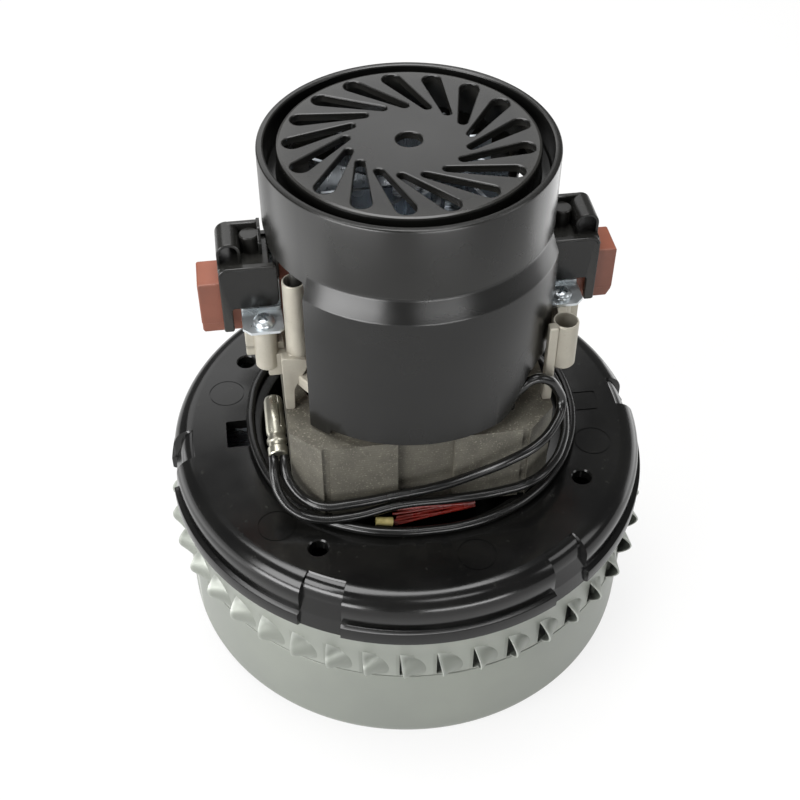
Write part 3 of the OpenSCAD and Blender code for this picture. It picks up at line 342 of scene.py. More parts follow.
def arcPoints(centre, radius, fromDeg, toDeg, count):
    angles = [math.radians(fromDeg + (toDeg - fromDeg) * i / count) for i in range(count + 1)]
    return [(centre[0] + radius * math.cos(a), centre[1] + radius * math.sin(a)) for a in angles]


def circlePoints(centre, radius, count):
    return arcPoints(centre, radius, 0, 360, count)[:-1]


def roundedOutline(points, radius, count=4):
    outline = []
    for i, corner in enumerate(points):
        here, before, after = Vector(corner), Vector(points[i - 1]), Vector(points[(i + 1) % len(points)])
        back, ahead = (before - here).normalized(), (after - here).normalized()
        a, b = here + back * radius, here + ahead * radius
        for k in range(count + 1):
            t = k / count
            outline.append(tuple((1 - t) ** 2 * a + 2 * t * (1 - t) * here + t ** 2 * b))
    return outline


def tubeCurve(name, radius, resolution):
    curve = bpy.data.curves.new(name, "CURVE")
    curve.dimensions = "3D"
    curve.bevel_depth = radius * mm
    curve.bevel_resolution = resolution
    curve.use_fill_caps = True
    return curve


def wireMesh(name, lines, radius, resolution=1):
    curve = tubeCurve(name, radius, resolution)
    for line in lines:
        spline = curve.splines.new("POLY")
        spline.points.add(len(line) - 1)
        for knot, place in zip(spline.points, line):
            knot.co = (*(Vector(place) * mm), 1.0)
    temp = bpy.data.objects.new(name, curve)
    mesh = bpy.data.meshes.new_from_object(temp)
    bpy.data.objects.remove(temp)
    bpy.data.curves.remove(curve)
    return mesh


# Cuts a shape out of a finished piece, and keeps the piece's object and place
def carve(piece, cutter, sharpDeg=38.0):
    mesh = meshFrom("cutter", cutter)
    tool = addObject("cutter", mesh)
    cut = piece.modifiers.new("cut", "BOOLEAN")
    cut.operation = "DIFFERENCE"
    cut.solver = "EXACT"
    cut.object = tool
    bpy.context.view_layer.update()
    result = bpy.data.meshes.new_from_object(piece.evaluated_get(bpy.context.evaluated_depsgraph_get()))
    piece.modifiers.remove(cut)
    old = piece.data
    piece.data = result
    bpy.data.meshes.remove(old)
    bpy.data.objects.remove(tool)
    bpy.data.meshes.remove(mesh)
    result.set_sharp_from_angle(angle=math.radians(sharpDeg))


# Leads: two silicone leads from the crimp terminal, over the points of the CAD route
leadLook = {
    "diameter": 2.8, "roundness": 5, "between": 8, "jumperLength": 0.127, "supplyLength": 0.479,
    "jumper": [
        (-39.1, -26.4, 83.9), (-39.1, -27.9, 83.5), (-38.9, -31, 81.4), (-37.3, -33.7, 78.4), (-34.2, -36.4, 76.1),
        (-30, -38.9, 75.4), (-22, -39.6, 75.8), (-8, -39, 76.8), (3, -39, 78.4), (14, -39.4, 82.6), (23, -40, 87.4),
        (31, -38.4, 91), (36.6, -34, 93.6), (39.4, -29.4, 97), (38, -28.4, 101.5), (34.6, -28.6, 106),
        (30.6, -29, 107), (27.2, -29.4, 104.4), (25.4, -28.6, 100.6), (25, -27.6, 98.6), (25, -27.6, 95.8)],
    "supply": [
        (-42.1, -26.4, 83.9), (-42.1, -28, 83.5), (-42.3, -31.6, 80.9), (-41.2, -35, 77.2), (-37.8, -38.2, 73.9),
        (-31.6, -40.8, 72.4), (-22, -41.4, 72.4), (-8, -40, 73.6), (7, -39.8, 73.4), (21, -40.6, 75.4),
        (30, -39.4, 76.8), (37.4, -33.6, 76.6), (43, -24.6, 75.6), (46.4, -14, 74.2), (48, -3, 73), (47.6, 8, 72),
        (45.4, 18, 71), (40, 28.4, 70)
    ] + [(x, y, 69.6) for x, y in (
        (31, 37.6), (20, 43.6), (8, 47), (-5, 47.4), (-18, 44.4), (-29, 38.8), (-38, 31), (-44.4, 21), (-47.2, 10),
        (-47.8, -1), (-46.4, -12), (-43.2, -22), (-38, -31), (-31, -38), (-22, -43), (-11.5, -46.2), (0, -47.2),
        (11.5, -46.4), (22, -43.2), (31.5, -37.8), (40, -29.6), (46.4, -19.5), (50.2, -8.6), (51.4, 2), (50.6, 12.5),
        (48, 22.6), (43.8, 31.6), (41.5, 35.4))],
    "strands": 7, "strandRadius": 0.28, "strandEnd": (39.2, 38.6, 68.75), "strandSide": (0.85, 0.53, 0.0),
    "strandFan": ((0.0, 1.0), (0.5, 1.05), (1.0, 1.2)),
}


def makeLead(name, points, nodeName):
    curve = tubeCurve(name, leadLook["diameter"] / 2, leadLook["roundness"])
    curve.resolution_u = leadLook["between"]
    spline = curve.splines.new("BEZIER")
    spline.bezier_points.add(len(points) - 1)
    for knot, place in zip(spline.bezier_points, points):
        knot.co = Vector(place) * mm
        knot.handle_left_type = knot.handle_right_type = "AUTO"
    curve.materials.append(finish["extrudedSilicone"])
    piece = addObject(name, curve)
    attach(piece, "frame")
    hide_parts(nodeName)
    bpy.context.view_layer.update()
    print(name, "is", round(spline.calc_length(), 4), "m long")
    return piece


# Tinned strands at the free end of the supply lead, laid as six round one
def makeStrands(look):
    start, end = Vector(look["supply"][-1]), Vector(look["strandEnd"])
    lines = [[start, end]]
    outer = look["strands"] - 1
    spread = 2 * look["strandRadius"]
    for i in range(outer):
        turn = 2 * math.pi * i / outer
        side = Vector(look["strandSide"]) * math.cos(turn) + Vector((0, 0, 1)) * math.sin(turn)
        lines.append([start.lerp(end, t) + side * spread * wide for t, wide in look["strandFan"]])
    mesh = wireMesh("strands", lines, look["strandRadius"])
    return showMesh("supplyLeadStrands", mesh, "tinnedStrip")


jumperLead = makeLead("jumperLead", leadLook["jumper"], "jumper_lead")
supplyLead = makeLead("supplyLead", leadLook["supply"], "supply_lead")
strandTip = makeStrands(leadLook)
print("leads laid")

# Crimp terminal: a barrel rolled from strip, open at its far end and pressed on the leads in front
crimpLook = {"at": (-40.6, -26.1, 84.0), "leanDeg": 75.0, "length": 19.0, "outR": 2.9, "boreR": 2.2, "boreFrom": 6.65,
             "seamDeg": -62.0, "seamR": (1.9, 3.4), "seamHalf": 0.18, "seamFrom": 8.4, "tabDeg": -40.0,
             "tab": [(8.2, -1.1), (13.0, -0.5), (13.0, 0.5), (8.2, 1.1)], "tabR": (2.55, 2.95)}


def makeCrimp(look):
    out, bore, far, inside = look["outR"], look["boreR"], look["length"], look["boreFrom"]
    profile = [(0.0, 0.9), (bore, 0.9), (bore + 0.1, 0.2), (out - 0.3, 0.0), (out - 0.05, 0.3), (out, 2.4),
               (out - 0.45, 2.9), (out - 0.45, 3.9), (out, 4.3), (out, 5.4), (out - 0.35, 5.9), (out - 0.35, 6.8),
               (out - 0.05, 7.4), (out - 0.12, far - 3.0), (out - 0.2, far - 1.0), (out - 0.5, far - 0.1),
               (out - 0.62, far), (bore, far - 0.3), (bore, inside), (0.0, inside)]
    lean = Matrix.Translation(look["at"]) @ Matrix.Rotation(math.radians(-look["leanDeg"]), 4, "X")
    barrel, seam, tab = bmesh.new(), bmesh.new(), bmesh.new()
    join(barrel, turnedShape(profile, 40), lean)
    piece = finishPiece("crimpTerminalBarrel", barrel, "tinnedStrip", ("crimp_terminal",))
    (r0, r1), half = look["seamR"], look["seamHalf"]
    slit = blockShape((r0, -half, look["seamFrom"]), (r1, half, far + 1), 0.0)
    join(seam, slit, lean @ turnZ(look["seamDeg"]))
    carve(piece, seam)
    raised = plateShape(roundedOutline(look["tab"], 0.3, 3), *look["tabR"], radius=0.12)
    upright = Matrix(((0, 0, 1, 0), (0, 1, 0, 0), (1, 0, 0, 0), (0, 0, 0, 1)))
    join(tab, raised, upright, lean @ turnZ(look["tabDeg"]))  # the spring tab, lifted out of the barrel
    finishPiece("crimpTerminalTab", tab, "tinnedStrip")
    return piece


crimpPiece = makeCrimp(crimpLook)
print("crimp terminal made")

# Fan housing: a deep-drawn cup with a slit line and a ring of sheared louvres
housingLook = {"outR": 71.5, "sheet": 1.2, "height": 57.0, "corner": 6.3, "eyeR": 20.0, "lip": 5.2, "slitZ": 33.75,
               "louvres": 42, "firstDeg": -100.0, "mouthZ": (34.0, 44.6), "mouthWide": 4.0, "standOut": 4.2,
               "length": 8.6, "tailZ": (34.4, 38.0), "slant": 1.5, "skin": 0.5, "steps": 252}


def louvreShape(look):
    shape = bmesh.new()
    bmesh.ops.create_grid(shape, x_segments=12, y_segments=18, size=0.5)
    outer = look["outR"]
    (mouthLow, mouthHigh), (tailLow, tailHigh) = look["mouthZ"], look["tailZ"]
    for v in shape.verts:
        along, around = v.co.x + 0.5, v.co.y + 0.5
        low = mouthLow + (tailLow - mouthLow) * along
        high = mouthHigh + (tailHigh - mouthHigh) * along ** 2.4
        swell = math.sin(math.pi * around ** 1.1) ** 0.75
        rise = look["standOut"] * (1 - along) ** 1.4 * swell - 0.25
        turn = (look["length"] * along + look["slant"] * (1 - around ** 3) * (1 - along)) / outer
        v.co = ((outer + rise) * math.cos(turn), (outer + rise) * math.sin(turn), low + (high - low) * around)
    bmesh.ops.recalc_face_normals(shape, faces=shape.faces)
    middle = min(shape.faces, key=lambda f: f.calc_center_median().y)
    if middle.normal.x < 0:
        bmesh.ops.reverse_faces(shape, faces=shape.faces[:])
    bmesh.ops.solidify(shape, geom=shape.faces[:], thickness=look["skin"])
    return shape


def makeHousing(look):
    out, sheet, top, corner, slit = look["outR"], look["sheet"], look["height"], look["corner"], look["slitZ"]
    inner, eye, lip = out - sheet, look["eyeR"], look["lip"]
    low, high = look["mouthZ"]
    bend = corner - sheet
    profile = [(eye, lip), (eye, 0.9), (eye + 0.3, 0.25), (eye + 0.9, 0.0)]
    profile += [(out - corner + corner * math.sin(a), corner - corner * math.cos(a))
                for a in (math.radians(d) for d in range(0, 91, 10))]
    profile += [(out, slit - 0.42), (out + 0.1, slit - 0.3), (out - 0.02, slit - 0.2), (out - 0.8, slit - 0.14),
                (out - 0.8, slit + 0.14), (out - 0.02, slit + 0.2), (out, high + 0.2), (out, top - 0.25),
                (out - 0.2, top), (inner + 0.2, top), (inner, top - 0.25)]
    profile += [(out - corner + bend * math.sin(a), corner - bend * math.cos(a))
                for a in (math.radians(d) for d in range(90, -1, -15))]
    profile += [(eye + sheet, sheet), (eye + sheet, lip)]
    shell = turnedShape(profile, look["steps"], startDeg=look["firstDeg"] - 1.0)
    piece = finishPiece("fanHousingShell", shell, "drawnSheetSteel", ("fan_housing",))
    mouths, scoops = bmesh.new(), bmesh.new()
    for i in range(look["louvres"]):
        turn = turnZ(look["firstDeg"] + i * 360 / look["louvres"])
        mouth = blockShape((inner - 1, 0.0, low + 0.3), (out + 0.6, look["mouthWide"], high - 0.9), 0.0)
        join(mouths, mouth, turn)
        join(scoops, louvreShape(look), turn)
    carve(piece, mouths)
    finishPiece("fanHousingLouvres", scoops, "drawnSheetSteel", sharpDeg=50)


makeHousing(housingLook)
print("fan housing made")

# Fan end bracket: a polished moulding with six recesses round its skirt
flangeLook = {"hubR": (8.6, 11.0, 13.6), "hubZ": (51.6, 56.5, 63.5), "wellR": 44.5, "floorZ": 54.0, "topZ": 68.0,
              "shoulderR": 66.0, "shoulder": 6.0, "wall": 2.4, "seatZ": 57.05, "lipR": 73.5, "lipZ": (52.0, 56.8),
              "recesses": 6, "recessDeg": 2.0, "recessHalfDeg": 5.05, "recessDepth": 2.0, "recessDrop": 0.5,
              "recessFoot": 71.75, "recessDraft": 0.14, "edgeDeg": 0.25, "holeR": 2.75, "boltR": 57.5, "holes": 4,
              "holeDeg": -34.0, "marks": 6, "markR": 5.6, "markDeg": -138.5, "post": (19.7, 29.7, 2.9),
              "postBore": 2.05, "postZ": (60, 68.5), "window": ((-55.5, -5.4, 60), (-47.5, 5.6, 70)),
              "slotDeg": (-98.0, -90.0, -82.0), "slot": ((45.4, -2.2, 66), (47.6, 2.2, 70)),
              "square": (51.4, 60.4, -3.6, 4.6), "squareDeg": -1.5, "squareLine": 0.5, "sharpDeg": 32,
              "dropAbove": 60, "cutFrom": 50}


def flangeShape(look):
    well, floor, top, start, bend = (look[k] for k in ("wellR", "floorZ", "topZ", "shoulderR", "shoulder"))
    (eye, seat, hub), (foot, ledge, hubTop) = look["hubR"], look["hubZ"]
    skirt, lip, (lipLow, lipHigh), wall = start + bend, look["lipR"], look["lipZ"], look["wall"]
    profile = [(eye, foot), (eye, ledge), (seat, ledge), (seat, hubTop - 0.3), (seat + 0.3, hubTop),
               (hub - 0.3, hubTop), (hub, hubTop - 0.3), (hub, floor + 0.6), (hub + 0.6, floor), (well - 0.8, floor),
               (well - 0.2, floor + 0.2), (well, floor + 0.8), (well, top - 0.6), (well + 0.2, top - 0.17),
               (well + 0.7, top), (look["boltR"], top), (start - 0.3, top), (start, top)]
    profile += [(start + bend * math.sin(a), top - bend + bend * math.cos(a))
                for a in (math.radians(d) for d in range(9, 91, 9))]
    profile += [(skirt, lipHigh + 0.7), (skirt - 0.12, lipHigh + 0.45), (skirt - 0.12, lipHigh + 0.15),
                (skirt + 0.2, lipHigh), (lip - 0.45, lipHigh - 0.02), (lip - 0.12, lipHigh - 0.15),
                (lip, lipHigh - 0.5), (lip, lipLow + 0.3), (lip - 0.25, lipLow), (skirt - 0.4, lipLow),
                (skirt - 0.4, look["seatZ"]), (skirt - wall, look["seatZ"]), (skirt - wall, top - bend),
                (start + 2.5, top - 3.5), (start, top - 3.0), (well + wall, top - 3.5), (well + wall, foot)]
    shape = bmesh.new()
    verts = [shape.verts.new((r, 0, z)) for r, z in profile]
    edges = [shape.edges.new(pair) for pair in zip(verts, verts[1:] + verts[:1])]
    half, edge = look["recessHalfDeg"], look["edgeDeg"]
    bmesh.ops.rotate(shape, cent=(0, 0, 0), matrix=turnZ(look["recessDeg"] - half, 3), verts=verts)
    ring = verts + edges
    spacing = 360 / look["recesses"]
    for _ in range(look["recesses"]):  # each recess gets a thin step at both ends
        for sweep, steps in ((edge, 1), (2 * (half - edge), 8), (edge, 1), (spacing - 2 * half, 36)):
            ring = bmesh.ops.spin(shape, geom=ring, cent=(0, 0, 0), axis=(0, 0, 1), angle=math.radians(sweep),
                                  steps=steps, use_duplicate=False)["geom_last"]
    bmesh.ops.remove_doubles(shape, verts=shape.verts, dist=toolLook["ringWeld"])
    depth = look["recessDepth"]
    for v in shape.verts:
        r = v.co.xy.length
        offset = (math.degrees(math.atan2(v.co.y, v.co.x)) - look["recessDeg"] + spacing / 2) % spacing - spacing / 2
        if r > start and abs(offset) < half - edge / 2:
            drawn = min(start + (r - start) * (1 - depth / bend), skirt - depth)
            if v.co.z < lipHigh + 1 and r > skirt - 0.5:  # the recess closes over the case, inside the lip
                drawn = look["recessFoot"] + (lipHigh + 0.7 - v.co.z) * look["recessDraft"]
                drawn = r if r < skirt - 0.2 else drawn
            v.co.x, v.co.y = v.co.x * drawn / r, v.co.y * drawn / r
            v.co.z -= look["recessDrop"] if v.co.z > look["dropAbove"] else 0.0
    return shape


def makeFlange(look):
    top, sharpDeg = look["topZ"], look["sharpDeg"]
    piece = finishPiece("fanEndBracketShell", flangeShape(look), "polishedBlackNylon",
                        ("fan_end_bracket",), sharpDeg)
    cuts, posts = bmesh.new(), bmesh.new()
    r, low = look["holeR"], look["cutFrom"]
    hole = [(0, low), (r, low), (r, top - 0.4), (r + 0.4, top), (r + 0.4, top + 1), (0, top + 1)]
    for i in range(look["holes"]):
        join(cuts, turnedShape(hole, 40, at=polar(look["boltR"], look["holeDeg"] + i * 360 / look["holes"])))
    r = look["markR"]
    mark = [(r - 0.42, top + 1), (r, top + 1), (r - 0.1, top - 0.25), (r - 0.32, top - 0.25)]
    for i in range(look["marks"]):  # ejector pin rings
        join(cuts, turnedShape(mark, 56, at=polar(look["boltR"], look["markDeg"] + i * 360 / look["marks"])))
    join(cuts, blockShape(*look["window"], 0.6))
    x0, x1, y0, y1 = look["square"]
    rim, inset = [roundedOutline([(x0 + d, y0 + d), (x1 - d, y0 + d), (x1 - d, y1 - d), (x0 + d, y1 - d)], radius)
                  for d, radius in ((0.0, 0.8), (look["squareLine"], 0.5))]
    join(cuts, plateShape(rim, top - 0.3, top + 1, holes=[inset]), turnZ(look["squareDeg"]))
    for slotDeg in look["slotDeg"]:
        join(cuts, blockShape(*look["slot"], 0.25), turnZ(slotDeg))
    carve(piece, cuts, sharpDeg)
    (x, y, r), bore, (low, high), foot = look["post"], look["postBore"], look["postZ"], look["floorZ"] - 0.5
    profile = [(bore, low), (bore, high), (r - 0.2, high), (r, high - 0.3), (r, foot), (bore, foot)]
    for sx, sy in corners:
        join(posts, turnedShape(profile, 32, at=(sx * x, sy * y)))
    finishPiece("fanEndBracketPosts", posts, "polishedBlackNylon")


makeFlange(flangeLook)
print("fan end bracket made")

# Vent cap: rim, groove and grille in one turned moulding, with two panels hanging from its shoulder
capLook = {"rimR": 39.0, "rimIn": 37.0, "top": 168.0, "foot": 139.0, "gapFoot": 146.5, "pegFoot": 144.0,
           "gapEdgeDeg": 1.5, "gapShare": 0.55, "grooveZ": 160.0, "grilleR": 33.9, "discR": 33.1, "grille": 2.0,
           "steps": 170, "hubR": 3.45, "slots": 17, "slotDeg": -100.0, "wideR": 2.6, "wideAt": 29.6, "narrowR": 1.2,
           "narrowAt": 16.2, "lagDeg": 26.0, "panelR": 41.2, "wall": 2.0, "panelDeg": -139.0, "panelSpan": 114.5,
           "panelFoot": ((-139, 96.3), (-129.3, 96.3), (-128.7, 98.5), (-60, 98.5), (-55, 100.4), (-52, 103.2),
                         (-48.5, 107.0), (-45, 109.4), (-41, 110.5), (-20, 110.5)), "panelLow": 90.0,
           "edge": 0.35, "edgeDeg": 60, "peg": (31.7, 14.9, 1.7), "pegZ": (129, 159)}


def slotOutline(look, turnDeg):
    lag = math.radians(look["lagDeg"])
    wide = Vector((look["wideAt"], 0))
    narrow = look["narrowAt"] * Vector((math.cos(lag), -math.sin(lag)))
    away = narrow - wide
    aim = math.degrees(math.atan2(away.y, away.x))
    spread = math.degrees(math.acos((look["wideR"] - look["narrowR"]) / away.length))
    points = arcPoints(wide, look["wideR"], aim + spread, aim + 360 - spread, 14)
    points += arcPoints(narrow, look["narrowR"], aim - spread, aim + spread, 7)
    turn = Matrix.Rotation(math.radians(turnDeg), 2)
    return [tuple(turn @ Vector(p)) for p in points]


def panelFootAt(look, deg):
    knots = look["panelFoot"]
    for (a, za), (b, zb) in zip(knots, knots[1:]):
        if deg <= b:
            return za + (zb - za) * (deg - a) / (b - a)
    return knots[-1][1]


def panelShape(look):
    r, rim, low = look["panelR"], look["rimR"], look["panelLow"]
    inner = r - look["wall"]
    profile = [(r, low), (r, 112.0), (r, 124.0), (r, 140.7), (r - 0.04, 141.0), (r - 0.16, 141.3), (r - 1.1, 144.0),
               (rim + 0.2, 146.7), (rim + 0.06, 147.1), (rim + 0.02, 147.7), (rim - 0.4, 147.9), (rim - 1, 147.9),
               (rim - 1, 143.0), (inner, 136.0), (inner, 124.0), (inner, 112.0), (inner, low)]
    shape = turnedShape(profile, 100, startDeg=look["panelDeg"], sweepDeg=look["panelSpan"])
    for v in shape.verts:
        if v.co.z < low + 1:
            v.co.z = panelFootAt(look, math.degrees(math.atan2(v.co.y, v.co.x)))
    bmesh.ops.recalc_face_normals(shape, faces=shape.faces)
    rims = [e for e in sharpEdges(shape, look["edgeDeg"]) if e.verts[0].co.z < 140]
    breakEdges(shape, rims, look["edge"])
    return shape


def makeCap(look):
    top, rim, rimIn, groove, grille, disc = (look[k] for k in ("top", "rimR", "rimIn", "grooveZ", "grilleR", "discR"))
    foot, under = look["foot"], top - look["grille"]
    profile = [(rimIn + 0.3, foot), (rim - 0.3, foot), (rim, foot + 0.3), (rim, top - 0.8), (rim - 0.1, top - 0.35),
               (rim - 0.35, top - 0.08), (rim - 0.7, top), (rimIn + 0.5, top), (rimIn + 0.15, top - 0.15),
               (rimIn, top - 0.5), (rimIn - 0.15, groove + 0.4), (rimIn - 0.55, groove), (grille + 0.5, groove),
               (grille + 0.1, groove + 0.4), (grille, top - 0.7), (grille - 0.2, top - 0.2), (disc, top),
               (disc, under), (grille - 1.5, under), (grille - 1.5, groove - 1.5), (rimIn, groove - 1.5),
               (rimIn, foot + 0.3)]
    cap = bmesh.new()
    wall = turnedShape(profile, look["steps"])
    gapStart, gapSpan, edgeDeg = look["panelDeg"] + look["panelSpan"], 180 - look["panelSpan"], look["gapEdgeDeg"]
    for v in wall.verts:  # beside the brush covers the wall ends higher
        past = (math.degrees(math.atan2(v.co.y, v.co.x)) - gapStart) % 180
        if v.co.z < foot + 1 and edgeDeg < past < gapSpan - edgeDeg:
            v.co.z += look["gapFoot" if past < gapSpan * look["gapShare"] else "pegFoot"] - foot
    join(cap, wall)
    holes = [slotOutline(look, look["slotDeg"] + i * 360 / look["slots"]) for i in range(look["slots"])]
    holes.append(circlePoints((0, 0), look["hubR"], 40))
    grid = plateShape(circlePoints((0, 0), disc, look["steps"]), under, top, holes=holes)
    brim = [e for e in sharpEdges(grid, look["edgeDeg"])
            if all(v.co.xy.length < disc - 0.2 and v.co.z > top - 0.1 for v in e.verts)]
    breakEdges(grid, brim, look["edge"])
    rimFaces = [f for f in grid.faces if all(v.co.xy.length > disc - 0.01 for v in f.verts)]
    bmesh.ops.delete(grid, geom=rimFaces, context="FACES_ONLY")
    join(cap, grid)
    (x, y, r), (low, high) = look["peg"], look["pegZ"]
    peg = [(0, low), (r - 0.4, low), (r, low + 0.5), (r, high), (0, high)]
    for turn in (turnZ(0), turnZ(180)):
        join(cap, panelShape(look), turn)
        join(cap, turnedShape(peg, 28, at=(x, y)), turn)
    finishPiece("ventCapMoulding", cap, "satinCharcoalPolyester", ("vent_cap",), 20)


makeCap(capLook)
print("vent cap made")

# Commutator bracket: a die casting of bosses, sockets, legs and webs on one ring
# A bored post is its bore, outside radius, foot, bore floor, top and the ease of its mouth, rim and foot
bracketLook = {"ring": (30.5, 38.4, 104.0, 108.0), "hub": (8.5, 11.0, 13.6, 136.5, 146.0), "pillarR": 34.0,
               "pillarDeg": (-112, -68, 68, 112), "pillar": (2.6, 105, 144), "spoke": (11.6, 2.2, 1.0, 7.5),
               "post": (19.7, 29.7), "postR": (2.05, 2.9), "footZ": 95.5, "postTop": 106,
               "boss": (41.0, 12.2), "bossPost": (1.6, 3.1, 107, 111, 121, (0.2, 0.35, 0.4, 0.12, 0.5, 0.25)),
               "socket": (32.4, 15.3), "socketPost": (2.55, 3.2, 112.5, 114.5, 138, (0.6, 0.2, 0.3, 0.1, 0.7, 0.3)),
               "stub": (39.896, 22.698), "stubPost": (2.9, 3.6, 107, 108.5, 122, (0.7, 0.25, 0.4, 0.1, 0.6, 0.3)),
               "deckX": (36, 46.5), "deckZ": (110.5, 112.5, 114.5, 121), "deckIn": 5.5, "leg": (34.7, 25.9),
               "legSize": (2.6, 2.7), "web": (1.3, 3.2, 109.5, 121),
               "sideLeg": [(30.4, 113.6), (37.4, 114.6), (37.2, 95.5), (34.6, 95.5), (34.4, 103), (30.6, 110.5)],
               "sideLegY": (16.5, 19.5), "bossRib": (35.4, 2, 104, 112), "legTop": 122,
               "socketRib": ((31.4, 14.3, 104), (35.4, 18.3, 114.5))}


def boredPost(bore, out, foot, floor, top, eases):
    mouth, rim, shoulder, taper, base, toe = eases
    return [(bore, floor), (bore, top - mouth), (bore + 0.2, top), (out - rim, top), (out, top - shoulder),
            (out + taper, foot + base), (out - toe, foot), (0, foot), (0, floor)]


def bracketArm(look):
    arm = bmesh.new()
    bx, by = look["boss"]
    (x0, x1), (under, step, deck, top) = look["deckX"], look["deckZ"]
    near, half, base, rise = look["bossRib"]
    for s in (-1, 1):
        join(arm, turnedShape(boredPost(*look["bossPost"]), 36, at=(bx, s * by)))
        join(arm, blockShape((near, s * by - half, base), (bx, s * by + half, rise), 0.5))
        low, high = sorted((s * look["deckIn"], s * by))
        join(arm, blockShape((bx + 2, low, step), (x1, high, top), 0.5))
    join(arm, blockShape((x0, -by, under), (x1, by, deck), 0.5))
    join(arm, turnedShape(boredPost(*look["socketPost"]), 40, at=look["socket"]))
    join(arm, plateShape(roundedOutline(look["sideLeg"], 0.8, 3), *look["sideLegY"], radius=0.45, plane="xz"))
    join(arm, blockShape(*look["socketRib"], 0.5))
    x, y = look["stub"]
    join(arm, turnedShape(boredPost(*look["stubPost"]), 44, at=(x, -y)))
    (legX, legY), (wide, deep) = look["leg"], look["legSize"]
    join(arm, blockShape((legX, -legY, look["footZ"]), (legX + wide, -legY + deep, look["legTop"]), 0.45))
    half, inset, low, high = look["web"]
    knots = ((legX + wide / 2, deep / 2 - legY), (x, inset - y), (bx, -by))
    for start, end in zip(knots, knots[1:]):  # web from the leg past the stub to the boss
        run = Vector(end) - Vector(start)
        aim = Matrix.Translation((*start, 0)) @ Matrix.Rotation(math.atan2(run.y, run.x), 4, "Z")
        join(arm, blockShape((0, -half, low), (run.length, half, high), 0.4), aim)
    return arm


def makeBracket(look):
    shape, bores = bmesh.new(), bmesh.new()
    inner, outer, low, high = look["ring"]
    profile = [(inner, low + 0.4), (inner + 0.4, low), (outer - 0.4, low), (outer, low + 0.4), (outer, high - 0.4),
               (outer - 0.4, high), (inner + 0.4, high), (inner, high - 0.4)]
    join(shape, turnedShape(profile, 120))
    eye, seat, out, low, high = look["hub"]
    profile = [(eye, low), (out - 0.4, low), (out, low + 0.4), (out, high - 0.4), (out - 0.4, high), (seat + 0.3, high),
               (seat, high - 0.3), (seat, low + 1), (eye, low + 1)]
    join(shape, turnedShape(profile, 64))
    far, (r, foot, top), (near, half, base, rise) = look["pillarR"], look["pillar"], look["spoke"]
    pillar = [(0, foot), (r, foot), (r, top - 0.4), (r - 0.4, top), (0, top)]
    for turn in (turnZ(deg) for deg in look["pillarDeg"]):
        join(shape, turnedShape(pillar, 28, at=(far, 0)), turn)
        join(shape, blockShape((near, -half, low + base), (far, half, low + rise), 0.5), turn)
    (x, y), (bore, r), foot, top = look["post"], look["postR"], look["footZ"], look["postTop"]
    for sx, sy in corners:
        join(shape, turnedShape([(bore, foot), (r, foot), (r, top), (bore, top)], 28, at=(sx * x, sy * y)))
    for turn in (turnZ(0), turnZ(180)):
        join(shape, bracketArm(look), turn)
    piece = finishPiece("commutatorBracketCasting", shape, "tumbledDieCasting",
                        ("commutator_bracket",))
    (x, y), (bore, _, _, floor, top, _) = look["stub"], look["stubPost"]
    for s in (1, -1):  # the web stops short of the stub's bore
        join(bores, turnedShape([(0, floor), (bore, floor), (bore, top + 2), (0, top + 2)], 44, at=(s * x, -s * y)))
    carve(piece, bores, 21)


makeBracket(bracketLook)
print("commutator bracket made")

# Brush gear: the right side as drawn, the left side mirrored, each holder with its own chamfer
gearLook = {"sides": (("Right", Matrix.Identity(4), 1.2), ("Left", Matrix.Scale(-1, 4, (1, 0, 0)), 0.4)),
            "holderX": (30, 57.8), "holderZ": (114.5, 117.3, 131), "holderY": (5.35, 5.2), "coverX": (36.2, 51.8),
            "coverZ": (123.5, 137.0), "coverFoot": 116, "coverY": 8.0, "capWallZ": (132.2, 145.6),
            "arch": (48.55, 139.75, 3.25, 2.35), "archY": (-4.5, 6.0), "tongue": (42.7, 1.6, 2.7), "finX": (39.6, 40.5),
            "clampX": (35.8, 46.8), "clampY": (5.36, 6.15, 16), "clampZ": (121, 131), "strip": 0.8,
            "hole": (41, 12.2, 1.65), "archWall": 39.8, "ribY": (6.0, 7.2)}


def holderShape(look, chamfer):
    (x0, x1), (foot, low, top), (half, footHalf) = look["holderX"], look["holderZ"], look["holderY"]
    shape = bmesh.new()
    side = [(x0, low), (x1, low), (x1, top), (x0, top)]
    join(shape, plateShape(roundedOutline(side, 0.5, 2), -half, half, radius=0.35, plane="xz"))
    end = x1 - 0.12
    toe = [(x0, foot), (end - chamfer, foot), (end, foot + 2 * chamfer), (end, low + 0.3), (x0, low + 0.3)]
    join(shape, plateShape(toe, -footHalf, footHalf, radius=0.3, plane="xz"))
    return shape


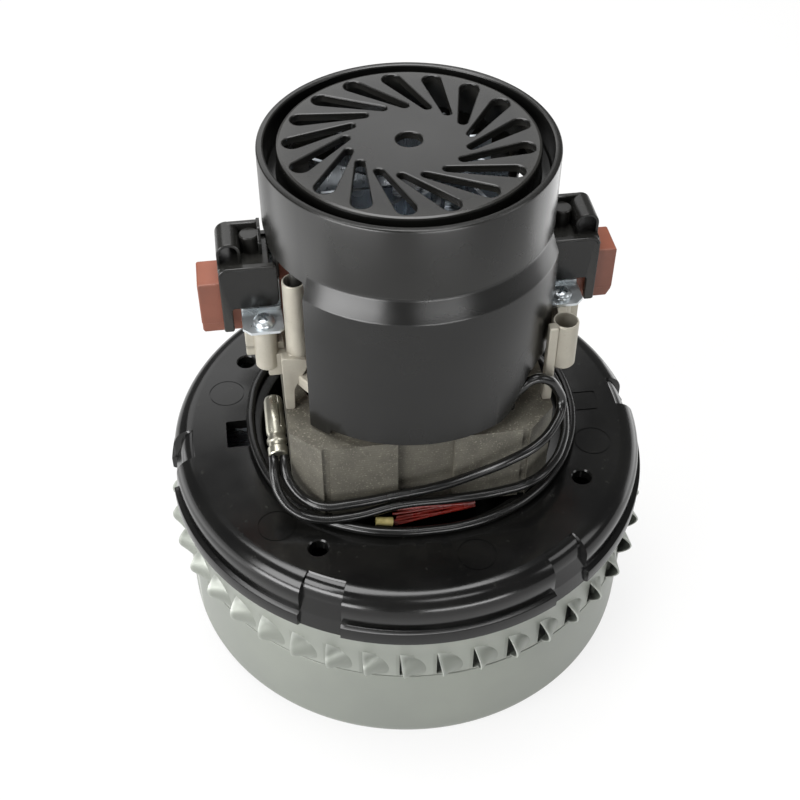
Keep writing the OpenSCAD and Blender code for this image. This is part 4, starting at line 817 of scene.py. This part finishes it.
def coverShape(look):
    (x0, x1), (z0, z1), y, foot = look["coverX"], look["coverZ"], look["coverY"], look["coverFoot"]
    shape = bmesh.new()
    bend = (x1 - 2.6, z1 - 2.0)
    side = arcPoints(bend, 2.6, 0, 90, 7) + arcPoints((x0 + 0.8, z1 - 0.2), 0.8, 90, 180, 4)
    side += arcPoints((x0 + 2.4, z0 + 2.8), 2.4, 180, 270, 6)
    side += [(x1 - 3.3, z0 + 0.4), (x1 - 2.8, z0 - 0.1), (x1 - 2.8, foot + 0.4), (x1 - 2.4, foot), (x1 - 0.4, foot),
             (x1, foot + 0.4)]
    bead = arcPoints(bend, 2.66, 10, 90, 7) + [(x0 + 0.8, z1 + 0.66), (x0 + 0.8, z1 - 0.25)]
    bead += arcPoints(bend, 1.75, 90, 10, 6)
    for s in (-1, 1):  # side plates with a bead along the top and a leg at the outer end
        for outline, out, thick, radius in ((side, y, 1.5, 0.3), (bead, y + 0.12, 1.82, 0.2)):
            low, high = sorted((s * out, s * (out - thick)))
            join(shape, plateShape(outline, low, high, radius=radius, plane="xz"))
    low, high = look["capWallZ"]
    join(shape, blockShape((x0 + 1.8, -y + 1.2, z1 - 4.4), (x1, y - 1.2, z1 - 0.2), 0.4))
    join(shape, blockShape((x0 - 0.6, -y + 1.6, low), (x0 + 0.9, y - 1.6, high), 0.4))  # wall beside the cap
    join(shape, blockShape((x1 - 1.6, -y + 1, low - 1), (x1, y - 1, z1 - 0.6), 0.3))
    (ax, az, ro, ri), (front, back), base = look["arch"], look["archY"], z1 - 1
    arch = arcPoints((ax, az), ro, 0, 180, 16) + [(ax - ro, base), (ax - ri, base)]
    arch += arcPoints((ax, az), ri, 180, 0, 14) + [(ax + ri, base), (ax + ro, base)]
    join(shape, plateShape(arch, front, back, radius=0.18, plane="xz"))
    top = az + ro
    join(shape, blockShape((look["archWall"], back - 1.5, base), (ax, back, top), 0.3))
    tx, ty, tr = look["tongue"]
    tongue = [(0, base), (tr, base), (tr, top - 1.5), (tr - 0.3, top - 1.2), (0, top - 1.2)]
    join(shape, turnedShape(tongue, 28, at=(tx, ty)))
    fin = [(-1.4, base), (back, base), (back, top + 0.6), (1.2, top + 0.6), (-1.4, top - 2.4)]
    join(shape, plateShape(roundedOutline(fin, 0.6, 3), *look["finX"], radius=0.2, plane="yz"))
    return shape


def clampShape(look):
    (x0, x1), (inner, outer, end), (low, high), strip = (look[k] for k in ("clampX", "clampY", "clampZ", "strip"))
    hx, hy, hr = look["hole"]
    shape = bmesh.new()
    join(shape, blockShape((x0, -outer, high), (x1, outer, high + strip), 0.2))
    foot = [(x0, inner), (x1, inner), (x1, end - 2.2), (x1 - 2.2, end), (x0 + 1.2, end), (x0, end - 1.2)]
    y0, y1 = look["ribY"]
    rib = roundedOutline([(x0 + 0.1, y0), (x1 - 0.1, y0), (x1 - 0.1, y1), (x0 + 0.1, y1)], 0.4, 3)
    for s in (-1, 1):
        flip = Matrix.Scale(s, 4, (0, 1, 0))
        y0, y1 = sorted((s * inner, s * (inner + strip)))
        join(shape, blockShape((x0, y0, low), (x1, y1, high + strip), 0.2))
        join(shape, plateShape(foot, low, low + strip, holes=[circlePoints((hx, hy), hr, 24)]), flip)
        join(shape, plateShape(rib, low + 0.6, low + 2, radius=0.3), flip)
    return shape


def makeBrushGear(look):
    for side, flip, chamfer in look["sides"]:
        for part, drawn, finishName, slotName in (
                ("Holder", holderShape(look, chamfer), "pressedPhenolic", "holder_plastic"),
                ("Cover", coverShape(look), "satinCharcoalPolyester", "cover_plastic"),
                ("Clamp", clampShape(look), "zincPlate", "zinc_plate")):
            shape = bmesh.new()
            join(shape, drawn, flip)
            nodeName = "_".join(("brush", part.lower(), side.lower()))
            finishPiece("brush" + part + side, shape, finishName, (nodeName,))


makeBrushGear(gearLook)
print("brush gear made")

# Clamp screws: pan heads with a cross recess, each stopped at its own angle
screwLook = {"at": (41.0, 12.2), "headZ": 121.8, "headH": 2.2, "headR": 3.0, "shankR": 1.5, "tipZ": 112.8,
             "cross": (1.75, 0.38), "crossDepth": 1.3, "turns": (18, 52, 71, 36), "sharpDeg": 30}


def makeScrews(look):
    heads, crosses = bmesh.new(), bmesh.new()
    z, r, shank, tip = (look[k] for k in ("headZ", "headR", "shankR", "tipZ"))
    (x, y), top = look["at"], z + look["headH"]
    profile = [(0, top), (0.9, top - 0.02), (1.8, top - 0.22), (2.5, top - 0.62), (2.88, top - 1.15), (r, z + 0.5),
               (r - 0.05, z), (shank, z), (shank, tip + 0.5), (0.9, tip), (0, tip)]
    arm, half = look["cross"]
    plus = [(arm, -half), (arm, half), (half, half), (half, arm), (-half, arm), (-half, half)]
    plus += [(-a, -b) for a, b in plus]
    for (sx, sy), turnDeg in zip(corners, look["turns"]):
        at = (sx * x, sy * y)
        join(heads, turnedShape(profile, 40, at=at))
        place = Matrix.Translation((*at, 0)) @ turnZ(turnDeg)
        join(crosses, plateShape(plus, top - look["crossDepth"], top + 1), place)
    piece = finishPiece("clampScrewHeads", heads, "zincPlate", ("clamp_screws",), look["sharpDeg"])
    carve(piece, crosses, look["sharpDeg"])


makeScrews(screwLook)
print("clamp screws made")

# Field coils: many turns of thin enamelled wire round each pole, bulging out below the core
wireSharpDeg = 80
coilLook = {"innerR": 28.3, "columns": 4, "loops": 28, "rings": 48, "pitch": 0.85, "wireR": 0.37, "coreZ": (68.5, 95.5),
            "spanDeg": 68.0, "lift": 2.2, "square": 0.45, "stray": 0.2, "waves": ((3.7, 9), (2.3, 7)), "startDeg": 225,
            "loose": ((-9.5, -40.4, 65.6), (13.0, -40.2, 69.8)), "looseCount": 9, "looseSteps": 12,
            "sleeve": ((-15.0, -40.3, 68.0), (-10.2, -40.4, 67.0), 1.25)}


def easeBetween(s, start, end):
    t = max(0.0, min(1.0, (s - start) / (end - start)))
    return t * t * (3 - 2 * t)


def signedPower(value, power):
    return math.copysign(abs(value) ** power, value)


def coilPoint(look, k, s):
    columns, pitch, stray = look["columns"], look["pitch"], look["stray"]
    column = [columns - abs(columns - (n % (2 * columns))) for n in (k, k + 1)]
    across = column[0] + (column[1] - column[0]) * easeBetween(s, 0.75, 1.0)
    newLayer = k > 0 and k % columns == 0
    layer = k // columns - (1 - easeBetween(s, 0.25, 0.5) if newLayer else 0)
    turn = math.radians(look["startDeg"] - 360 * s)
    low, high = look["coreZ"]
    span = math.radians(look["spanDeg"]) + layer * pitch / look["innerR"]
    angle = span * signedPower(math.cos(turn), look["square"])
    rise = ((high - low) / 2 + look["lift"] + layer * pitch) * signedPower(math.sin(turn), look["square"])
    (loopOut, turnOut), (loopUp, turnUp) = look["waves"]
    r = look["innerR"] + across * pitch + stray * math.sin(loopOut * k + turnOut * s)
    rise += stray * math.sin(loopUp * k + turnUp * s)
    return (r * math.sin(angle), -r * math.cos(angle), (low + high) / 2 + rise)


# Loose ends of the coil: nearly straight wires that draw together at one end, out of a sleeve at the other
def looseWires(look):
    start, end = (Vector(p) for p in look["loose"])
    lines = []
    for i in range(look["looseCount"]):
        level = i / (look["looseCount"] - 1)
        low = start + Vector((0.7 * math.sin(5 * i), 0.5 * math.sin(3 * i), 7.0 * level))
        high = end + Vector((0.9 * math.cos(4 * i), 0.3 * math.sin(2 * i), 1.6 * level))
        line = []
        for k in range(look["looseSteps"] + 1):
            t = k / look["looseSteps"]
            bow = math.sin(math.pi * t)
            sag = Vector((0, -0.35 * bow * math.cos(7 * i), 0.6 * bow * math.sin(4 * i + 3 * t)))
            line.append(low.lerp(high, t ** 1.15) + sag)
        lines.append(line)
    return lines


def makeCoils(look):
    path = [coilPoint(look, k, i / look["rings"]) for k in range(look["loops"]) for i in range(look["rings"])]
    start, end, r = look["sleeve"]
    along = Vector(end) - Vector(start)
    aim = Matrix.Translation(start) @ along.to_track_quat("Z", "Y").to_matrix().to_4x4()
    long = along.length
    profile = [(r * 0.6, 0.0), (r * 0.95, 0.1), (r, long * 0.5), (r * 1.08, long), (r * 0.8, long),
               (r * 0.7, long * 0.5)]
    for side, flip in (("Front", 1), ("Back", -1)):
        name = "fieldCoil" + side
        lines = [[(flip * x, flip * y, z) for x, y, z in line] for line in [path] + looseWires(look)]
        showMesh(name + "Wires", wireMesh(name + "Wires", lines, look["wireR"]), "enamelledCopper",
                 ("field_coil_" + side.lower(),), sharpDeg=wireSharpDeg)
        tube = bmesh.new()
        join(tube, turnedShape(profile, 20), aim, Matrix.Diagonal((flip, flip, 1, 1)))
        finishPiece(name + "Sleeve", tube, "glassSleeving")


makeCoils(coilLook)
print("field coils wound")

# Armature winding: strands laid from slot to slot over both ends of the core
windingLook = {"slots": 12, "throw": 5, "strands": 9, "wireR": 0.42, "slotR": 21.4, "coreZ": (68.5, 95.5),
               "height": 9.0, "inner": 17.4, "gap": 0.95, "level": 1.2, "layer": 1.1, "steps": 14}


def makeWinding(look):
    lines = []
    slotR, gap, layer = look["slotR"], look["gap"], look["layer"]
    low, high = look["coreZ"]
    slotTurns = [2 * math.pi * (i + 0.5) / look["slots"] for i in range(look["slots"])]
    for endZ, up in ((high, 1), (low, -1)):
        for i, start in enumerate(slotTurns):
            for n in range(look["strands"]):
                level = look["level"] + (n // 3) * layer + (i % 4) * layer
                end = start + 2 * math.pi * look["throw"] / look["slots"]
                line = []
                for step in range(look["steps"] + 1):
                    t = step / look["steps"]
                    bow = math.sin(math.pi * t)
                    r = slotR + (n % 3 - 1) * gap - (slotR - look["inner"]) * bow ** 0.8
                    a = start + (end - start) * t
                    z = endZ + up * min(look["height"], 0.3 + level * bow ** 0.45)
                    line.append((r * math.cos(a), r * math.sin(a), z))
                lines.append(line)
    for a in slotTurns:
        for n in range(look["strands"]):
            r, off = slotR + (n % 3 - 1) * gap, (n // 3 - 1) * gap
            x, y = r * math.cos(a) - off * math.sin(a), r * math.sin(a) + off * math.cos(a)
            lines.append([(x, y, low), (x, y, high)])
    name = "armatureWindingStrands"
    showMesh(name, wireMesh(name, lines, look["wireR"]), "enamelledCopper", ("armature_winding",),
             "rotor", wireSharpDeg)


makeWinding(windingLook)
print("armature wound")

# Brush springs: open coils wound closer at each end
springLook = {"inner": 37.8, "outer": 55.3, "z": 122.5, "radius": 2.5, "wireR": 0.35, "turns": 7, "perTurn": 18,
              "closing": 0.045, "keep": 0.657}


def makeSprings(look):
    inner, outer, z, radius = (look[k] for k in ("inner", "outer", "z", "radius"))
    count = look["turns"] * look["perTurn"]
    for side, sign in (("right", 1), ("left", -1)):
        line = []
        for i in range(count + 1):
            t = i / count
            along = t - look["closing"] * math.sin(2 * math.pi * t)  # closer turns at the ends
            a = 2 * math.pi * i / look["perTurn"]
            x = inner + (outer - inner) * along
            line.append((sign * x, radius * math.cos(a), z + radius * math.sin(a)))
        name = "brushSpringCoil" + side.capitalize()
        spring = showMesh(name, wireMesh(name, [line], look["wireR"], 2), "drawnSpringWire",
                          ("brush_spring_" + side,), sharpDeg=wireSharpDeg)
        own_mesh(spring)


makeSprings(springLook)
print("brush springs wound")

# Carried-over CAD nodes, under their finishes
carried = {
    "drawnSheetSteel": ("stage_divider",),
    "varnishedLaminations": ("field_core", "armature_core"),
    "zincPlate": ("frame_bolts", "fan_nut"),
    "groundSteel": ("lower_bearing_outer_race", "upper_bearing_outer_race", "lower_bearing_inner_race",
                    "upper_bearing_inner_race", "lower_bearing_balls", "upper_bearing_balls"),
    "rolledBrass": ("lower_bearing_cage", "upper_bearing_cage", "brush_tube_left", "brush_tube_right"),
    "oiledSteel": ("shaft", "fan_spacer", "bearing_spacer", "fan_washers"),
    "turnedCopper": ("commutator", "commutator_riser"),
    "pressedAluminium": ("cooling_fan", "first_fan_shroud", "first_fan_blades", "first_fan_back_plate",
                         "second_fan_shroud", "second_fan_blades", "second_fan_back_plate"),
    "electrographite": ("carbon_brush_left", "carbon_brush_right"),
}
for finishName, nodeNames in carried.items():
    for nodeName in nodeNames:
        nodes[nodeName].data.materials.clear()
        nodes[nodeName].data.materials.append(finish[finishName])
print("CAD nodes dressed:", sum(len(nodeNames) for nodeNames in carried.values()))

# Stage: a pale floor that shows white to the camera and keeps the shadow, and soft lamps round it
# Each lamp is its name, place, aim, size and power; the last five only give the plastics their lights
stageLook = {"floorMm": 9000, "white": "#f2f2f0", "whiteShare": 0.84, "mirrored": 0.95, "paperEnds": (700, 1300),
             "beyond": 0.12, "skyColour": "#fbfbfb", "ambient": 0.2, "sky": 0.903,
             "lamps": (("overhead", (-60, 140, 900), (0, 0, 80), (600, 500), 7.6),
                       ("leftFront", (-620, -420, 520), (0, 0, 90), (480, 420), 5.8),
                       ("rightFront", (640, -260, 460), (0, 0, 90), (320, 320), 0.9),
                       ("back", (-80, 660, 560), (0, 0, 120), (700, 240), 1.0),
                       ("lowLeft", (-321, -303, 88), (-17, -36, 143), (350, 100), 1.5),
                       ("lowFront", (108, -418, 73), (13, -38, 143), (240, 64), 0.53),
                       ("highFront", (80, -338, 480), (8, -71, 64), (170, 80), 0.26),
                       ("sideLeft", (-230, 10, 30), (-31, -24, 155), (240, 160), 0.16),
                       ("sideRight", (230, 80, 30), (31, -24, 155), (200, 160), 0.16)),
             "glossOnly": ("lowLeft", "lowFront", "highFront", "sideLeft", "sideRight")}


def makeFloor(look):
    ground = bmesh.new()
    bmesh.ops.create_grid(ground, x_segments=1, y_segments=1, size=look["floorMm"] / 2 * mm)
    mesh = bpy.data.meshes.new("studioFloor")
    ground.to_mesh(mesh)
    ground.free()
    floor = addObject("studioFloor", mesh)
    material = bpy.data.materials.new("paperFloor")
    material.use_nodes = True
    tree = material.node_tree
    tree.nodes.clear()
    rays = addNode(tree, "LightPath").outputs
    seen = combine(tree, "MAXIMUM", rays["Is Camera Ray"], rays["Is Glossy Ray"])
    seen = combine(tree, "MAXIMUM", seen, rays["Is Transmission Ray"])
    share = addNode(tree, "Math", {1: look["whiteShare"]}, {0: seen}, operation="MULTIPLY")
    paper = addNode(tree, "BsdfDiffuse", {"Color": linear(look["white"])})
    coords = addNode(tree, "TexCoord").outputs["Object"]
    away = addNode(tree, "VectorMath", links={0: coords}, operation="LENGTH").outputs["Value"]
    near, far = look["paperEnds"]  # what mirrors on the object see of the paper ends there
    mirror = ramp(tree, away, near * mm, far * mm, look["mirrored"], look["beyond"])
    level = addNode(tree, "MapRange", {"To Max": 1.0}, {"Value": rays["Is Camera Ray"], "To Min": mirror})
    glow = addNode(tree, "Emission", {"Color": (1, 1, 1, 1)}, {"Strength": level.outputs[0]})
    mixed = addNode(tree, "MixShader", links={0: share.outputs[0], 1: paper.outputs[0], 2: glow.outputs[0]})
    addNode(tree, "OutputMaterial", links={"Surface": mixed.outputs[0]})
    mesh.materials.append(material)


def makeLight(look):
    world = bpy.data.worlds.new("studioWorld")
    scene.world = world
    world.use_nodes = True
    tree = world.node_tree
    sky = tree.nodes["Background"]
    cameraRay = addNode(tree, "LightPath").outputs["Is Camera Ray"]
    sky.inputs["Color"].default_value = linear(look["skyColour"])
    tree.links.new(ramp(tree, cameraRay, 0.0, 1.0, look["ambient"], look["sky"]), sky.inputs["Strength"])
    for name, place, aim, size, power in look["lamps"]:
        lamp = bpy.data.lights.new(name, "AREA")
        lamp.shape = "RECTANGLE"
        lamp.size, lamp.size_y = size[0] * mm, size[1] * mm
        lamp.energy = power
        holder = addObject(name, lamp)
        holder.visible_diffuse = name not in look["glossOnly"]
        holder.location = Vector(place) * mm
        holder.rotation_mode = "QUATERNION"
        holder.rotation_quaternion = facing(place, aim)


makeFloor(stageLook)
makeLight(stageLook)
print("stage lit")
